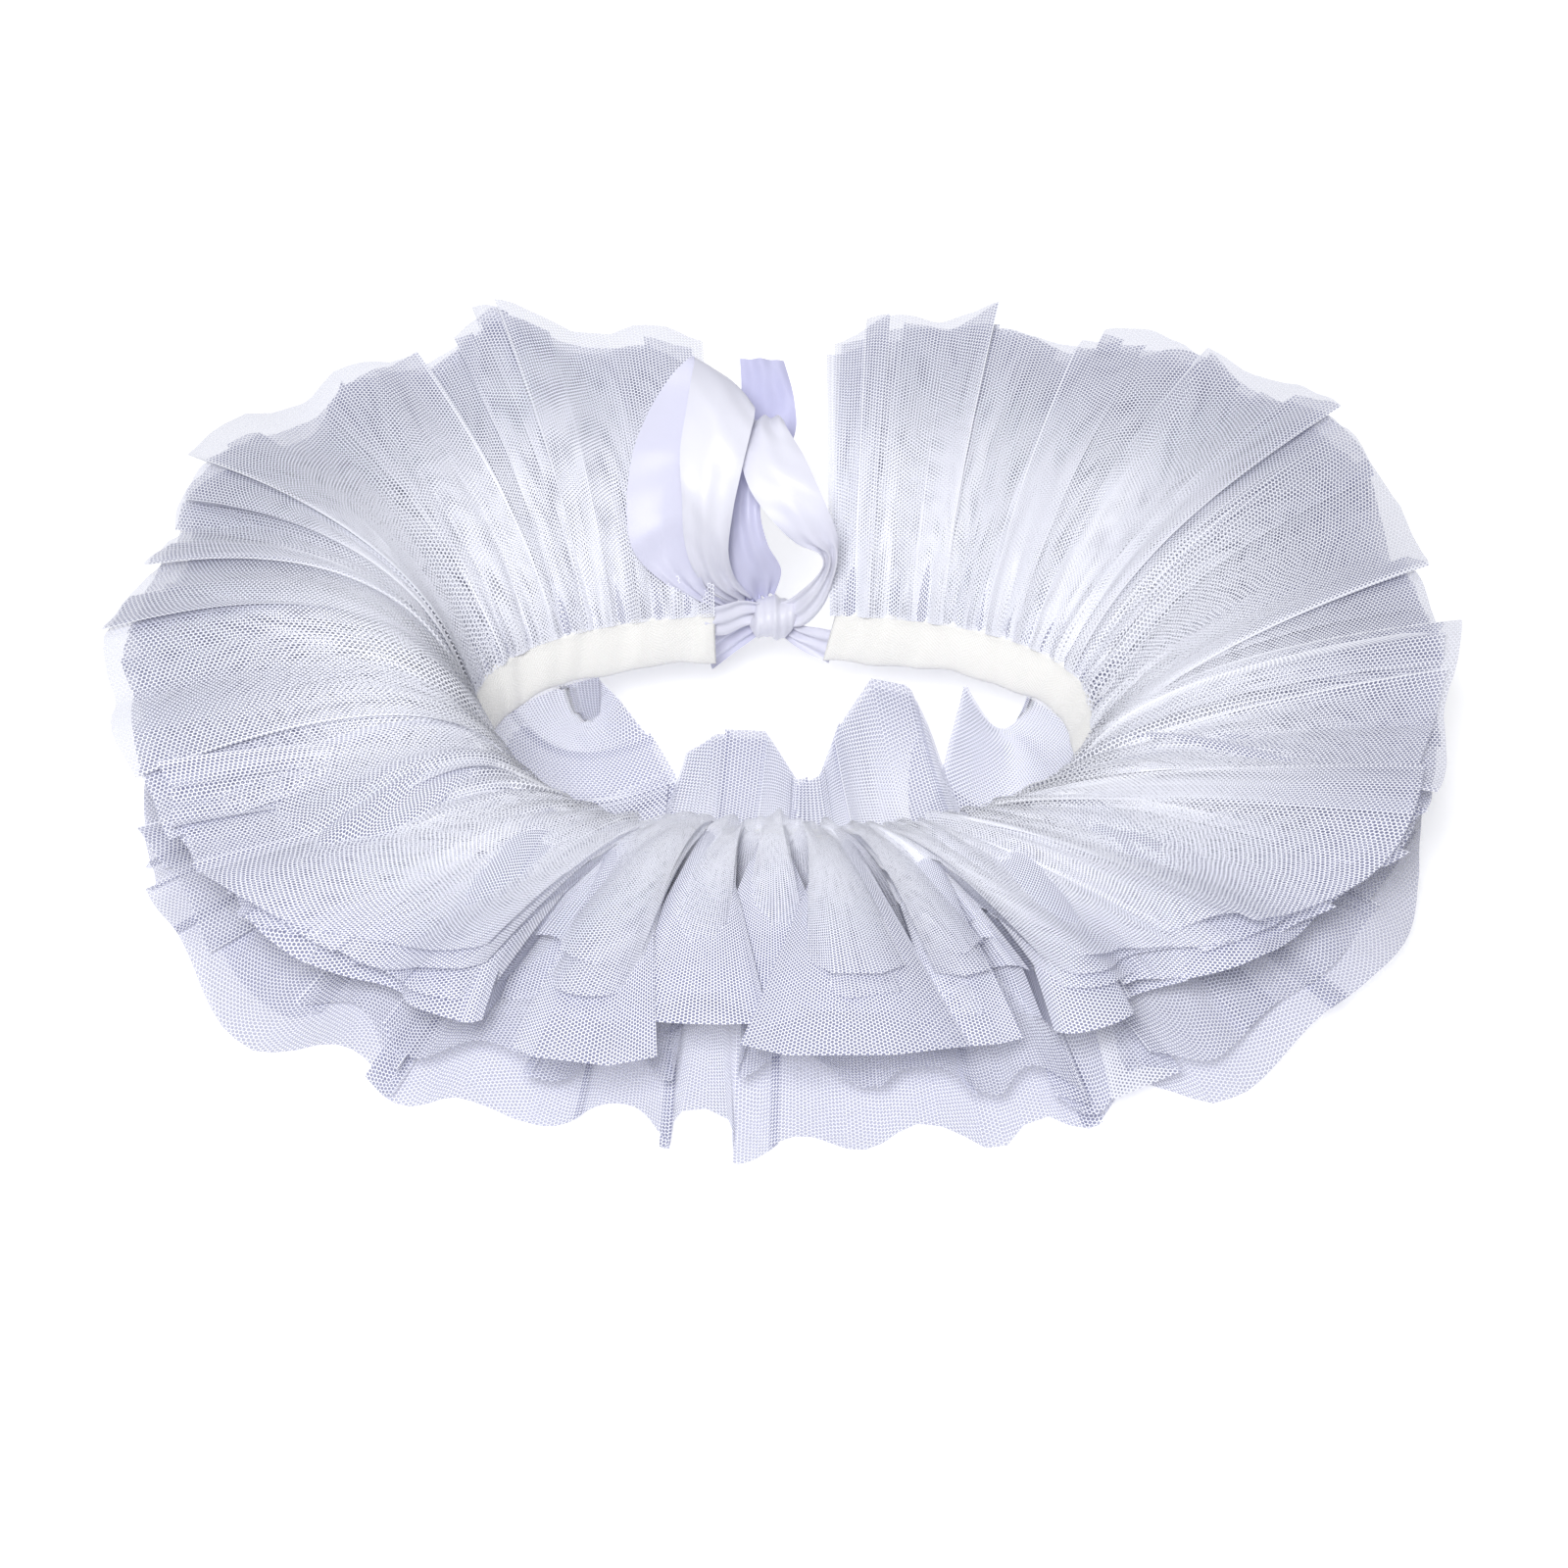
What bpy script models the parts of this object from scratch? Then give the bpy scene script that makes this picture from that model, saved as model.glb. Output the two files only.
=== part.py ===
"""Ruff collar of gathered net on an open neck binding, closed at the back with a satin ribbon bow.

The collar rests on a surface at z = 0.  +Z is up, -Y is the front of the neck, +Y is the back with the bow.
The origin is under the middle of the collar.  Sizes in the tables are in millimetres.
"""

import math

import bpy
from mathutils import Vector

MM = 0.001
COLLECTION_NAME = "ruff_collar"
# The neck line's middle lies a little off the middle of the whole collar, where the origin is.
PLAN_CENTRE = Vector((0.8, 2.5, 0.0))

# Neck line: the middle of the binding, an oval with slightly squared ends.
NECK_HALF_WIDTH = 76.0
NECK_HALF_DEPTH = 39.0
NECK_SQUARENESS = 2.4
NECK_SAMPLES = 2880

# Neck binding: a cotton strip folded over the gathers.
BAND_HEIGHT = 13.0
BAND_THICKNESS = 2.4
BAND_MIDDLE_Z = 29.0
BAND_LEAN = math.radians(24.0)
BAND_START = 0.044
BAND_END = 0.968
BAND_SECTIONS = 64

# Net walls.
NET_WALL = 1.0
SEAM_GAP = 0.3
# Height of the middle of a wall that lies on the surface; its underside is then planed flat at z = 0.
BED_Z = 0.3 * NET_WALL

# Seams of the two outer ruffles at the top of the binding.
ROOT_ALONG = 0.5 * BAND_HEIGHT + SEAM_GAP + 0.6 * NET_WALL
ROOT_OFF = 0.5 * (NET_WALL + SEAM_GAP) + 0.35
UPPER_ROWS = (0.0, 0.16, 0.38, 0.68, 1.0)
LOWER_ROWS = (0.0, 0.2, 0.5, 0.75, 1.0)
INNER_ROWS = (0.0, 0.25, 0.5, 0.75, 1.0)

# Block under the resting surface, wider than the collar.
FLOOR_BLOCK = (400.0, 300.0, 20.0)

# Satin ribbon.
RIBBON_WALL = 1.0

# One row for each section round the neck, from the back, round the left, the front and the right.
# share: place round the neck line.  reach: plan distance from neck line to hem.  hem: height of the hem.
# crown: height of the control point that lifts the net over.  over: its place out, as a share of the reach.
# pleats: folds up to the next row.  depth: half the height of a pleat at the hem.
# flat: 1 is a sharp flat-topped pleat, 0 is a soft round flute.
RUFFLE_COLUMNS = ("share", "reach", "hem", "crown", "over", "pleats", "depth", "flat")

UPPER_SECTIONS = (
    (0.044, 74.0, 67.0, 62.0, 0.22, 2, 2.0, 1.0),
    (0.085, 79.0, 68.0, 64.0, 0.22, 1, 4.0, 1.0),
    (0.124, 91.0, 68.0, 64.0, 0.22, 2, 4.5, 1.0),
    (0.161, 93.0, 63.0, 64.0, 0.22, 2, 5.0, 1.0),
    (0.190, 99.0, 55.0, 64.0, 0.21, 3, 5.0, 1.0),
    (0.221, 91.0, 48.0, 66.0, 0.20, 2, 5.0, 1.0),
    (0.265, 87.0, 43.0, 72.0, 0.15, 2, 5.0, 0.9),
    (0.295, 82.0, 40.0, 74.0, 0.14, 2, 5.0, 0.8),
    (0.325, 76.0, 36.0, 70.0, 0.15, 2, 5.0, 0.6),
    (0.360, 69.0, 32.0, 60.0, 0.18, 2, 5.0, 0.4),
    (0.420, 66.0, 29.0, 49.0, 0.28, 3, 5.0, 0.1),
    (0.490, 60.0, 29.0, 50.0, 0.28, 3, 5.0, 0.0),
    (0.560, 61.0, 29.0, 45.0, 0.30, 3, 5.0, 0.1),
    (0.620, 69.0, 32.0, 50.0, 0.28, 2, 5.0, 0.4),
    (0.680, 80.0, 36.0, 58.0, 0.20, 2, 5.0, 0.8),
    (0.720, 86.0, 40.0, 64.0, 0.16, 3, 5.0, 1.0),
    (0.760, 91.0, 45.0, 66.0, 0.18, 2, 5.0, 1.0),
    (0.790, 97.0, 51.0, 64.0, 0.20, 2, 5.0, 1.0),
    (0.820, 101.0, 60.0, 64.0, 0.22, 2, 4.5, 1.0),
    (0.853, 93.0, 66.0, 64.0, 0.22, 2, 4.5, 1.0),
    (0.910, 83.0, 68.0, 64.0, 0.22, 2, 4.0, 1.0),
    (0.968, 72.0, 67.0, 62.0, 0.22, 0, 2.0, 1.0),
)

LOWER_SECTIONS = (
    (0.050, 70.0, 50.0, 38.0, 0.45, 2, 2.0, 0.5),
    (0.100, 82.0, 50.0, 38.0, 0.45, 2, 3.5, 0.5),
    (0.160, 97.0, 44.0, 36.0, 0.45, 2, 4.0, 0.5),
    (0.205, 96.0, 30.0, 34.0, 0.45, 2, 4.5, 0.6),
    (0.250, 86.0, 20.0, 30.0, 0.45, 2, 4.5, 0.6),
    (0.300, 84.0, 9.0, 22.0, 0.45, 2, 4.5, 0.6),
    (0.350, 76.0, 3.0, 14.0, 0.45, 2, 4.5, 0.8),
    (0.410, 71.0, 1.0, 6.0, 0.45, 2, 4.5, 1.0),
    (0.490, 76.4, 1.0, 5.0, 0.45, 2, 4.5, 1.0),
    (0.560, 76.4, 1.0, 6.0, 0.45, 2, 4.2, 0.8),
    (0.620, 79.0, 1.5, 10.0, 0.45, 2, 4.5, 0.8),
    (0.670, 82.0, 6.0, 18.0, 0.45, 2, 4.5, 0.6),
    (0.710, 86.0, 14.0, 26.0, 0.45, 2, 4.5, 0.6),
    (0.760, 88.0, 28.0, 34.0, 0.45, 2, 4.5, 0.6),
    (0.805, 96.0, 40.0, 36.0, 0.45, 2, 4.0, 0.5),
    (0.850, 90.0, 48.0, 38.0, 0.45, 2, 3.5, 0.5),
    (0.910, 80.0, 51.0, 38.0, 0.45, 2, 3.5, 0.5),
    (0.962, 68.0, 51.0, 38.0, 0.45, 0, 2.0, 0.5),
)

# The lower net also falls inside the neck, in three panels that lie on the surface.
# hem_x, hem_y: where a panel's hem lies in plan.
INNER_COLUMNS = ("share", "hem_x", "hem_y", "pleats", "depth", "flat")

INNER_PANELS = {
    "inner_left": (
        (0.125, -40.0, 33.0, 1, 0.1, 0.0),
        (0.160, -46.0, 26.0, 1, 0.3, 0.0),
        (0.195, -41.0, 18.0, 1, 1.4, 1.0),
        (0.250, -31.0, 11.0, 1, 1.6, 1.0),
        (0.295, -36.5, -5.0, 1, 1.6, 1.0),
        (0.330, -43.0, -14.0, 0, 1.6, 1.0),
    ),
    "inner_front": (
        (0.385, -26.0, 14.0, 1, 0.1, 0.0),
        (0.415, -18.0, 28.0, 2, 1.6, 1.0),
        (0.490, -3.0, 32.0, 2, 1.8, 1.0),
        (0.550, 11.0, 34.0, 1, 1.8, 1.0),
        (0.590, 22.0, 44.0, 1, 1.6, 1.0),
        (0.630, 34.0, 44.0, 0, 0.8, 1.0),
    ),
    "inner_right": (
        (0.665, 44.5, 10.0, 1, 1.2, 1.0),
        (0.710, 49.0, 18.0, 1, 1.2, 1.0),
        (0.770, 53.0, 22.0, 1, 1.2, 1.0),
        (0.830, 49.0, 36.0, 0, 0.2, 0.5),
    ),
}
INNER_ROOT_ALONG = -(0.5 * BAND_HEIGHT + SEAM_GAP + 0.9 * NET_WALL)
INNER_BED_Z = 1.4
INNER_FALL_Z = -4.0
INNER_TURN = 0.3

# Ribbons of the bow.  width_axis: the way the ribbon's width runs before it turns about its own length.
# Rows follow the ribbon, with the columns x, y, z, width and turn in degrees.
RIBBON_STEPS = 3
ACROSS_BOW = (1.0, 0.0, 0.0)
THROUGH_BOW = (0.0, -0.74, 0.67)
UPRIGHT = (0.0, -0.2, 1.0)
RIBBONS = {
    "tie_left": (UPRIGHT, (
        (-14.9, 40.2, 29.2, 9.0, 0.0),
        (-12.0, 41.5, 29.6, 8.0, 0.0),
        (-8.8, 43.0, 30.5, 7.0, 0.0),
    )),
    "tie_right": (UPRIGHT, (
        (10.2, 40.0, 29.2, 7.0, 0.0),
        (8.0, 41.2, 29.8, 6.0, 0.0),
        (5.2, 43.0, 30.4, 6.0, 0.0),
    )),
    "bow_loop_left": (ACROSS_BOW, (
        (-7.5, 44.5, 41.0, 5.0, 0.0),
        (-15.5, 49.5, 55.5, 14.0, 0.0),
        (-26.0, 64.0, 71.0, 20.0, 0.0),
        (-25.0, 82.0, 83.0, 22.0, 0.0),
        (-23.0, 90.0, 85.0, 22.0, 0.0),
        (-21.0, 93.5, 81.5, 22.0, 0.0),
        (-18.0, 85.0, 77.0, 19.0, 0.0),
        (-12.0, 69.0, 63.5, 12.0, 0.0),
        (-7.5, 54.0, 44.5, 6.0, 0.0),
    )),
    "bow_loop_right": (THROUGH_BOW, (
        (4.5, 45.5, 40.0, 5.0, 0.0),
        (9.5, 50.0, 47.0, 10.0, 0.0),
        (11.5, 57.0, 57.0, 13.0, 0.0),
        (8.0, 66.0, 69.0, 14.0, 0.0),
        (3.0, 69.5, 74.0, 14.0, 0.0),
        (-2.0, 67.0, 71.0, 13.0, 0.0),
        (-3.0, 58.5, 59.5, 10.0, 0.0),
        (0.0, 50.0, 45.0, 5.0, 0.0),
    )),
    "tail_standing": (ACROSS_BOW, (
        (-1.0, 55.5, 35.0, 7.0, 0.0),
        (-1.0, 70.0, 46.0, 12.0, 10.0),
        (-2.0, 88.0, 61.0, 15.0, 20.0),
        (-3.0, 102.0, 75.0, 16.0, 20.0),
    )),
    "tail_short": (ACROSS_BOW, (
        (-4.0, 46.0, 24.0, 8.0, 0.0),
        (-9.0, 46.5, 20.0, 12.0, 10.0),
        (-16.0, 47.0, 13.5, 12.0, 10.0),
    )),
}
KNOT_PLACE = (-2.0, 44.0, 31.0)
KNOT_SIZE = (13.0, 10.0, 11.0)
KNOT_TURN = (20.0, 0.0, 0.0)

# A pleat's cross-section, as (place across the pleat, height from -1 to 1).
FLAT_PLEAT = ((0.00, -1.0), (0.14, 0.9), (0.62, 1.0), (0.78, -0.9))
ROUND_PLEAT = ((0.00, -1.0), (0.25, 0.0), (0.50, 1.0), (0.75, 0.0))
# How far a pleat's middle wanders, as a share of the pleat, and how fast that changes along the ruffle.
UNEVEN = 0.12
UNEVEN_TURN = 0.9
# How far a sharp pleat leans sideways at the hem, as a share of its depth.
PLEAT_LEAN = 0.5


def neck_line():
    """Return the neck oval as (share, x, y, out_x, out_y) samples, evenly numbered by angle."""
    points = []
    for index in range(NECK_SAMPLES + 1):
        angle = 2.0 * math.pi * index / NECK_SAMPLES
        power = 2.0 / NECK_SQUARENESS
        x = -NECK_HALF_WIDTH * math.copysign(abs(math.sin(angle)) ** power, math.sin(angle))
        y = NECK_HALF_DEPTH * math.copysign(abs(math.cos(angle)) ** power, math.cos(angle))
        points.append((x, y))
    lengths = [0.0]
    for (x0, y0), (x1, y1) in zip(points, points[1:]):
        lengths.append(lengths[-1] + math.hypot(x1 - x0, y1 - y0))
    samples = []
    for (x, y), length in zip(points, lengths):
        slope_x = math.copysign(abs(x / NECK_HALF_WIDTH) ** (NECK_SQUARENESS - 1.0), x) / NECK_HALF_WIDTH
        slope_y = math.copysign(abs(y / NECK_HALF_DEPTH) ** (NECK_SQUARENESS - 1.0), y) / NECK_HALF_DEPTH
        size = math.hypot(slope_x, slope_y)
        samples.append((length / lengths[-1], x, y, slope_x / size, slope_y / size))
    return samples


NECK_LINE = neck_line()


def neck_place(share):
    """Return the neck line's point and outward direction at a share of its length from the back."""
    low, high = 0, len(NECK_LINE) - 1
    while high - low > 1:
        middle = (low + high) // 2
        if NECK_LINE[middle][0] <= share:
            low = middle
        else:
            high = middle
    before, after = NECK_LINE[low], NECK_LINE[high]
    blend = (share - before[0]) / (after[0] - before[0])
    x, y, out_x, out_y = (a + (b - a) * blend for a, b in zip(before[1:], after[1:]))
    return Vector((x, y, 0.0)), Vector((out_x, out_y, 0.0)).normalized()


def pleat_columns(names, rows):
    """Walk a table of sections and return one entry for each line of the pleats, hem values blended."""
    sections = [dict(zip(names, row)) for row in rows]
    columns = []
    for row, after in zip(sections, sections[1:]):
        pleats = int(row["pleats"])
        for pleat in range(pleats):
            shape = row["flat"]
            shift = UNEVEN * math.sin(UNEVEN_TURN * len(columns))
            for flat_line, round_line in zip(FLAT_PLEAT, ROUND_PLEAT):
                across = round_line[0] + (flat_line[0] - round_line[0]) * shape
                across += shift * math.sin(math.pi * across)
                wave = round_line[1] + (flat_line[1] - round_line[1]) * shape
                blend = (pleat + across) / pleats
                column = {name: row[name] + (after[name] - row[name]) * blend for name in row}
                column["wave"] = wave
                columns.append(column)
    last = dict(sections[-1])
    last["wave"] = -1.0
    columns.append(last)
    return columns


def band_point(share, along, off):
    """Return a point on the binding: along its height from the middle, and off its outer face."""
    place, out = neck_place(share)
    up = Vector((0.0, 0.0, 1.0))
    rise = out * math.sin(BAND_LEAN) + up * math.cos(BAND_LEAN)
    face = out * math.cos(BAND_LEAN) - up * math.sin(BAND_LEAN)
    return place + up * BAND_MIDDLE_Z + rise * along + face * off


def bend(start, control, end, t):
    """Return a point on a quadratic curve."""
    return start * (1.0 - t) ** 2 + control * (2.0 * t * (1.0 - t)) + end * t ** 2


def bend_slope(start, control, end, t):
    return ((control - start) * (1.0 - t) + (end - control) * t).normalized()


def ruffle_surface(columns, rows, root_along, root_off):
    """Return a grid of points for a ruffle that leaves the top of the binding and flares outwards."""
    up = Vector((0.0, 0.0, 1.0))
    grid = []
    for t in rows:
        line = []
        for column in columns:
            place, out = neck_place(column["share"])
            start = band_point(column["share"], root_along, root_off)
            control = place + out * column["reach"] * column["over"] + up * column["crown"]
            end = place + out * column["reach"] + up * column["hem"]
            slope = bend_slope(start, control, end, t)
            side = out.cross(up)
            lift = side.cross(slope).normalized()
            height = column["depth"] * column["wave"] * t
            point = bend(start, control, end, t) + lift * height - side * height * column["flat"] * PLEAT_LEAN
            point.z = max(point.z, BED_Z)
            line.append(point)
        grid.append(line)
    return grid


def inner_surface(columns, rows):
    """Return a grid of points for the net that falls under the binding and lies inside the neck."""
    up = Vector((0.0, 0.0, 1.0))
    grid = []
    for t in rows:
        line = []
        for column in columns:
            start = band_point(column["share"], INNER_ROOT_ALONG, 0.0)
            end = Vector((column["hem_x"], column["hem_y"], INNER_BED_Z))
            control = start + (end - start) * INNER_TURN
            control.z = INNER_FALL_Z
            point = bend(start, control, end, t) + up * column["depth"] * column["wave"] * t
            point.z = max(point.z, BED_Z)
            line.append(point)
        grid.append(line)
    return grid


def bow_curve(points, steps):
    """Return smooth points through the given ones, steps to each span."""
    line = []
    last = len(points) - 1
    for index in range(last):
        before = points[max(index - 1, 0)]
        start, end = points[index], points[index + 1]
        after = points[min(index + 2, last)]
        for step in range(steps):
            t = step / steps
            line.append(
                0.5 * (2.0 * start + (end - before) * t
                       + (2.0 * before - 5.0 * start + 4.0 * end - after) * t ** 2
                       + (3.0 * start - before - 3.0 * end + after) * t ** 3))
    line.append(points[last].copy())
    return line


def ribbon_surface(width_axis, rows):
    """Return a grid across and along a ribbon from rows of centre, width and turn about its length."""
    centres = bow_curve([Vector(row[0:3]) for row in rows], RIBBON_STEPS)
    sizes = bow_curve([Vector((row[3], row[4], 0.0)) for row in rows], RIBBON_STEPS)
    grid = [[], [], []]
    for index, (centre, size) in enumerate(zip(centres, sizes)):
        ahead = centres[min(index + 1, len(centres) - 1)] - centres[max(index - 1, 0)]
        ahead.normalize()
        across = Vector(width_axis)
        across = (across - ahead * across.dot(ahead)).normalized()
        normal = across.cross(ahead)
        turn = math.radians(size.y)
        across = across * math.cos(turn) + normal * math.sin(turn)
        for line, side in zip(grid, (-0.5, 0.0, 0.5)):
            line.append(centre + across * size.x * side)
    return grid


def clear_scene():
    for existing in list(bpy.data.objects):
        bpy.data.objects.remove(existing, do_unlink=True)


def make_material(name, color, roughness):
    material = bpy.data.materials.new(name)
    material.use_nodes = True
    shader = material.node_tree.nodes["Principled BSDF"]
    shader.inputs["Base Color"].default_value = (*color, 1.0)
    shader.inputs["Roughness"].default_value = roughness
    shader.inputs["Metallic"].default_value = 0.0
    return material


def add_cloth(name, grid, wall, even, material, collection):
    """Make one closed cloth wall: an open sheet through the grid, thickened evenly to both sides."""
    rows, across = len(grid), len(grid[0])
    vertices = [(point - PLAN_CENTRE) * MM for line in grid for point in line]
    faces = []
    for row in range(rows - 1):
        for column in range(across - 1):
            corner = row * across + column
            faces.append((corner, corner + 1, corner + across + 1, corner + across))
    mesh = bpy.data.meshes.new(name)
    mesh.from_pydata(vertices, [], faces)
    mesh.validate()
    cloth = bpy.data.objects.new(name, mesh)
    cloth.data.materials.append(material)
    collection.objects.link(cloth)
    thickness = cloth.modifiers.new("wall", "SOLIDIFY")
    thickness.thickness = wall * MM
    thickness.offset = 0.0
    thickness.use_even_offset = even
    return cloth


def build_neckband(material, collection):
    shares = [BAND_START + (BAND_END - BAND_START) * index / BAND_SECTIONS for index in range(BAND_SECTIONS + 1)]
    half = 0.5 * BAND_HEIGHT
    grid = [[band_point(share, along, 0.0) for share in shares] for along in (-half, half)]
    return add_cloth("neckband", grid, BAND_THICKNESS, True, material, collection)


def add_floor_cutter(cutters):
    """A block whose top is the resting surface; it only planes the undersides flat."""
    middle = Vector((0.0, 0.0, -0.5 * FLOOR_BLOCK[2])) * MM
    bpy.ops.mesh.primitive_cube_add(size=1.0, location=middle)
    block = bpy.context.object
    block.name = "floor_cutter"
    block.scale = [side * MM for side in FLOOR_BLOCK]
    block.hide_render = True
    block.display_type = "WIRE"
    for owner in list(block.users_collection):
        owner.objects.unlink(block)
    cutters.objects.link(block)
    return block


def plane_underside(cloth, floor):
    cut = cloth.modifiers.new("flat_underside", "BOOLEAN")
    cut.operation = "DIFFERENCE"
    cut.object = floor


def build_ruffles(material, floor, collection):
    upper = ruffle_surface(
        pleat_columns(RUFFLE_COLUMNS, UPPER_SECTIONS), UPPER_ROWS, ROOT_ALONG, -ROOT_OFF)
    add_cloth("upper_ruffle", upper, NET_WALL, True, material, collection)
    lower = ruffle_surface(
        pleat_columns(RUFFLE_COLUMNS, LOWER_SECTIONS), LOWER_ROWS, ROOT_ALONG, ROOT_OFF)
    plane_underside(add_cloth("lower_ruffle", lower, NET_WALL, True, material, collection), floor)
    for name, rows in INNER_PANELS.items():
        panel = inner_surface(pleat_columns(INNER_COLUMNS, rows), INNER_ROWS)
        plane_underside(add_cloth(name, panel, NET_WALL, False, material, collection), floor)


def build_knot(material, collection):
    """The bow's knot: a cage block tapered to its ends and rounded by subdivision."""
    bpy.ops.mesh.primitive_cube_add(size=1.0, location=(Vector(KNOT_PLACE) - PLAN_CENTRE) * MM)
    knot = bpy.context.object
    knot.name = "bow_knot"
    knot.data.name = "bow_knot"
    knot.scale = [value * MM for value in KNOT_SIZE]
    knot.rotation_euler = [math.radians(value) for value in KNOT_TURN]
    rounding = knot.modifiers.new("rounding", "SUBSURF")
    rounding.levels = 2
    rounding.render_levels = 2
    knot.data.materials.append(material)
    for owner in list(knot.users_collection):
        owner.objects.unlink(knot)
    collection.objects.link(knot)


def build_bow(material, collection):
    for name, (width_axis, rows) in RIBBONS.items():
        add_cloth(name, ribbon_surface(width_axis, rows), RIBBON_WALL, False, material, collection)
    build_knot(material, collection)


def main():
    clear_scene()
    collection = bpy.data.collections.new(COLLECTION_NAME)
    cutters = bpy.data.collections.new("cutters")
    bpy.context.scene.collection.children.link(collection)
    bpy.context.scene.collection.children.link(cutters)
    cotton = make_material("cream_cotton", (0.93, 0.92, 0.88), 0.9)
    net = make_material("white_net", (0.88, 0.89, 0.95), 0.8)
    satin = make_material("white_satin", (0.86, 0.86, 0.93), 0.35)
    build_neckband(cotton, collection)
    build_ruffles(net, add_floor_cutter(cutters), collection)
    build_bow(satin, collection)


main()
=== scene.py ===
"""Ruff collar of gathered net on an open neck binding, closed at the back with a satin ribbon bow.

The collar rests on a surface at z = 0.  +Z is up, -Y is the front of the neck, +Y is the back with the bow.
Shapes are worked out in millimetres about the middle of the neck and moved into the frame, in metres.
"""

import math

import bpy
import numpy as np
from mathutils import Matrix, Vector


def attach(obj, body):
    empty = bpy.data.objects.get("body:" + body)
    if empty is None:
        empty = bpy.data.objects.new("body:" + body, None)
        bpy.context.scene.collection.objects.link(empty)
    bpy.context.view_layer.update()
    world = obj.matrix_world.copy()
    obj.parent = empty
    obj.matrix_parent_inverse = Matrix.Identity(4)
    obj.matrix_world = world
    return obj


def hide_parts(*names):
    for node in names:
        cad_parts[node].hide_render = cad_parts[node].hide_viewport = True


bl_info = {
    "name": "Ruff collar",
    "version": (1, 0, 0),
    "blender": (4, 5, 0),
    "location": "View3D > Sidebar > Ruff collar",
    "description": "Builds a ruff collar of gathered net on a neck binding, with a satin ribbon bow",
    "category": "Object",
}

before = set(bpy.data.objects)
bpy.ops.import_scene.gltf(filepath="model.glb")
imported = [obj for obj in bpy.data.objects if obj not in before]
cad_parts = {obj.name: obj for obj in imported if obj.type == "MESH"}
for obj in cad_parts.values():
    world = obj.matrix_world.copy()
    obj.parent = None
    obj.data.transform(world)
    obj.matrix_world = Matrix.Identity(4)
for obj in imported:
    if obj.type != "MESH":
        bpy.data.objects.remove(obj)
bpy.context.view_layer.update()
BODY = "root"

MM = 0.001
# The neck's middle, off the middle of the whole collar.
NECK_CENTRE = np.array((-0.8, -2.5, 0.0))
UP = np.array((0.0, 0.0, 1.0))

# Neck line: the middle of the binding, an oval with slightly squared ends.
NECK_HALF_WIDTH = 76.0
NECK_HALF_DEPTH = 39.0
NECK_SQUARENESS = 2.4
NECK_SAMPLES = 2880

# Neck binding.
BAND_MIDDLE_Z = 29.0
BAND_LEAN = math.radians(24.0)
BAND_START = 0.044
BAND_END = 0.968
BAND_COLUMNS = 520
# Length round the whole neck line, half of the binding's height, and the cotton's own wall, in millimetres.
NECK_ROUND = 381.5
HALF_BAND = 6.5
COTTON_WALL = 0.35
# Half of the binding's folded section, from the outer top edge down to the fold:
# place along the height and off the middle, as shares of the half height and of the thickness.
BAND_PROFILE = (
    (0.90, 0.10), (1.00, 0.22), (1.02, 0.44), (0.93, 0.60), (0.80, 0.56), (0.62, 0.60), (0.40, 0.68),
    (0.15, 0.72), (-0.15, 0.73), (-0.42, 0.70), (-0.66, 0.62), (-0.84, 0.50), (-0.96, 0.32), (-1.01, 0.12),
)

# Net roots at the top of the binding.
ROOT_ALONG = 6.0
ROOT_OFF = 1.0
NET_ROWS = 34
BED_Z = 0.35

# One row for each section round the neck, from the back, round the left, the front and the right.
# share: place round the neck line.  reach: plan distance from neck line to hem.  hem: height of the hem.
# crown: height of the control point that lifts the net over.  over: how far out that point is, as a share
# of the reach.  sweep: how far the hem is turned round the neck, as a share.  depth: half the height of a
# fold at the hem.  flat: 1 is a sharp pressed fold, 0 is a soft round flute.
RUFFLE_COLUMNS = ("share", "reach", "hem", "crown", "over", "sweep", "depth", "flat")

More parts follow.
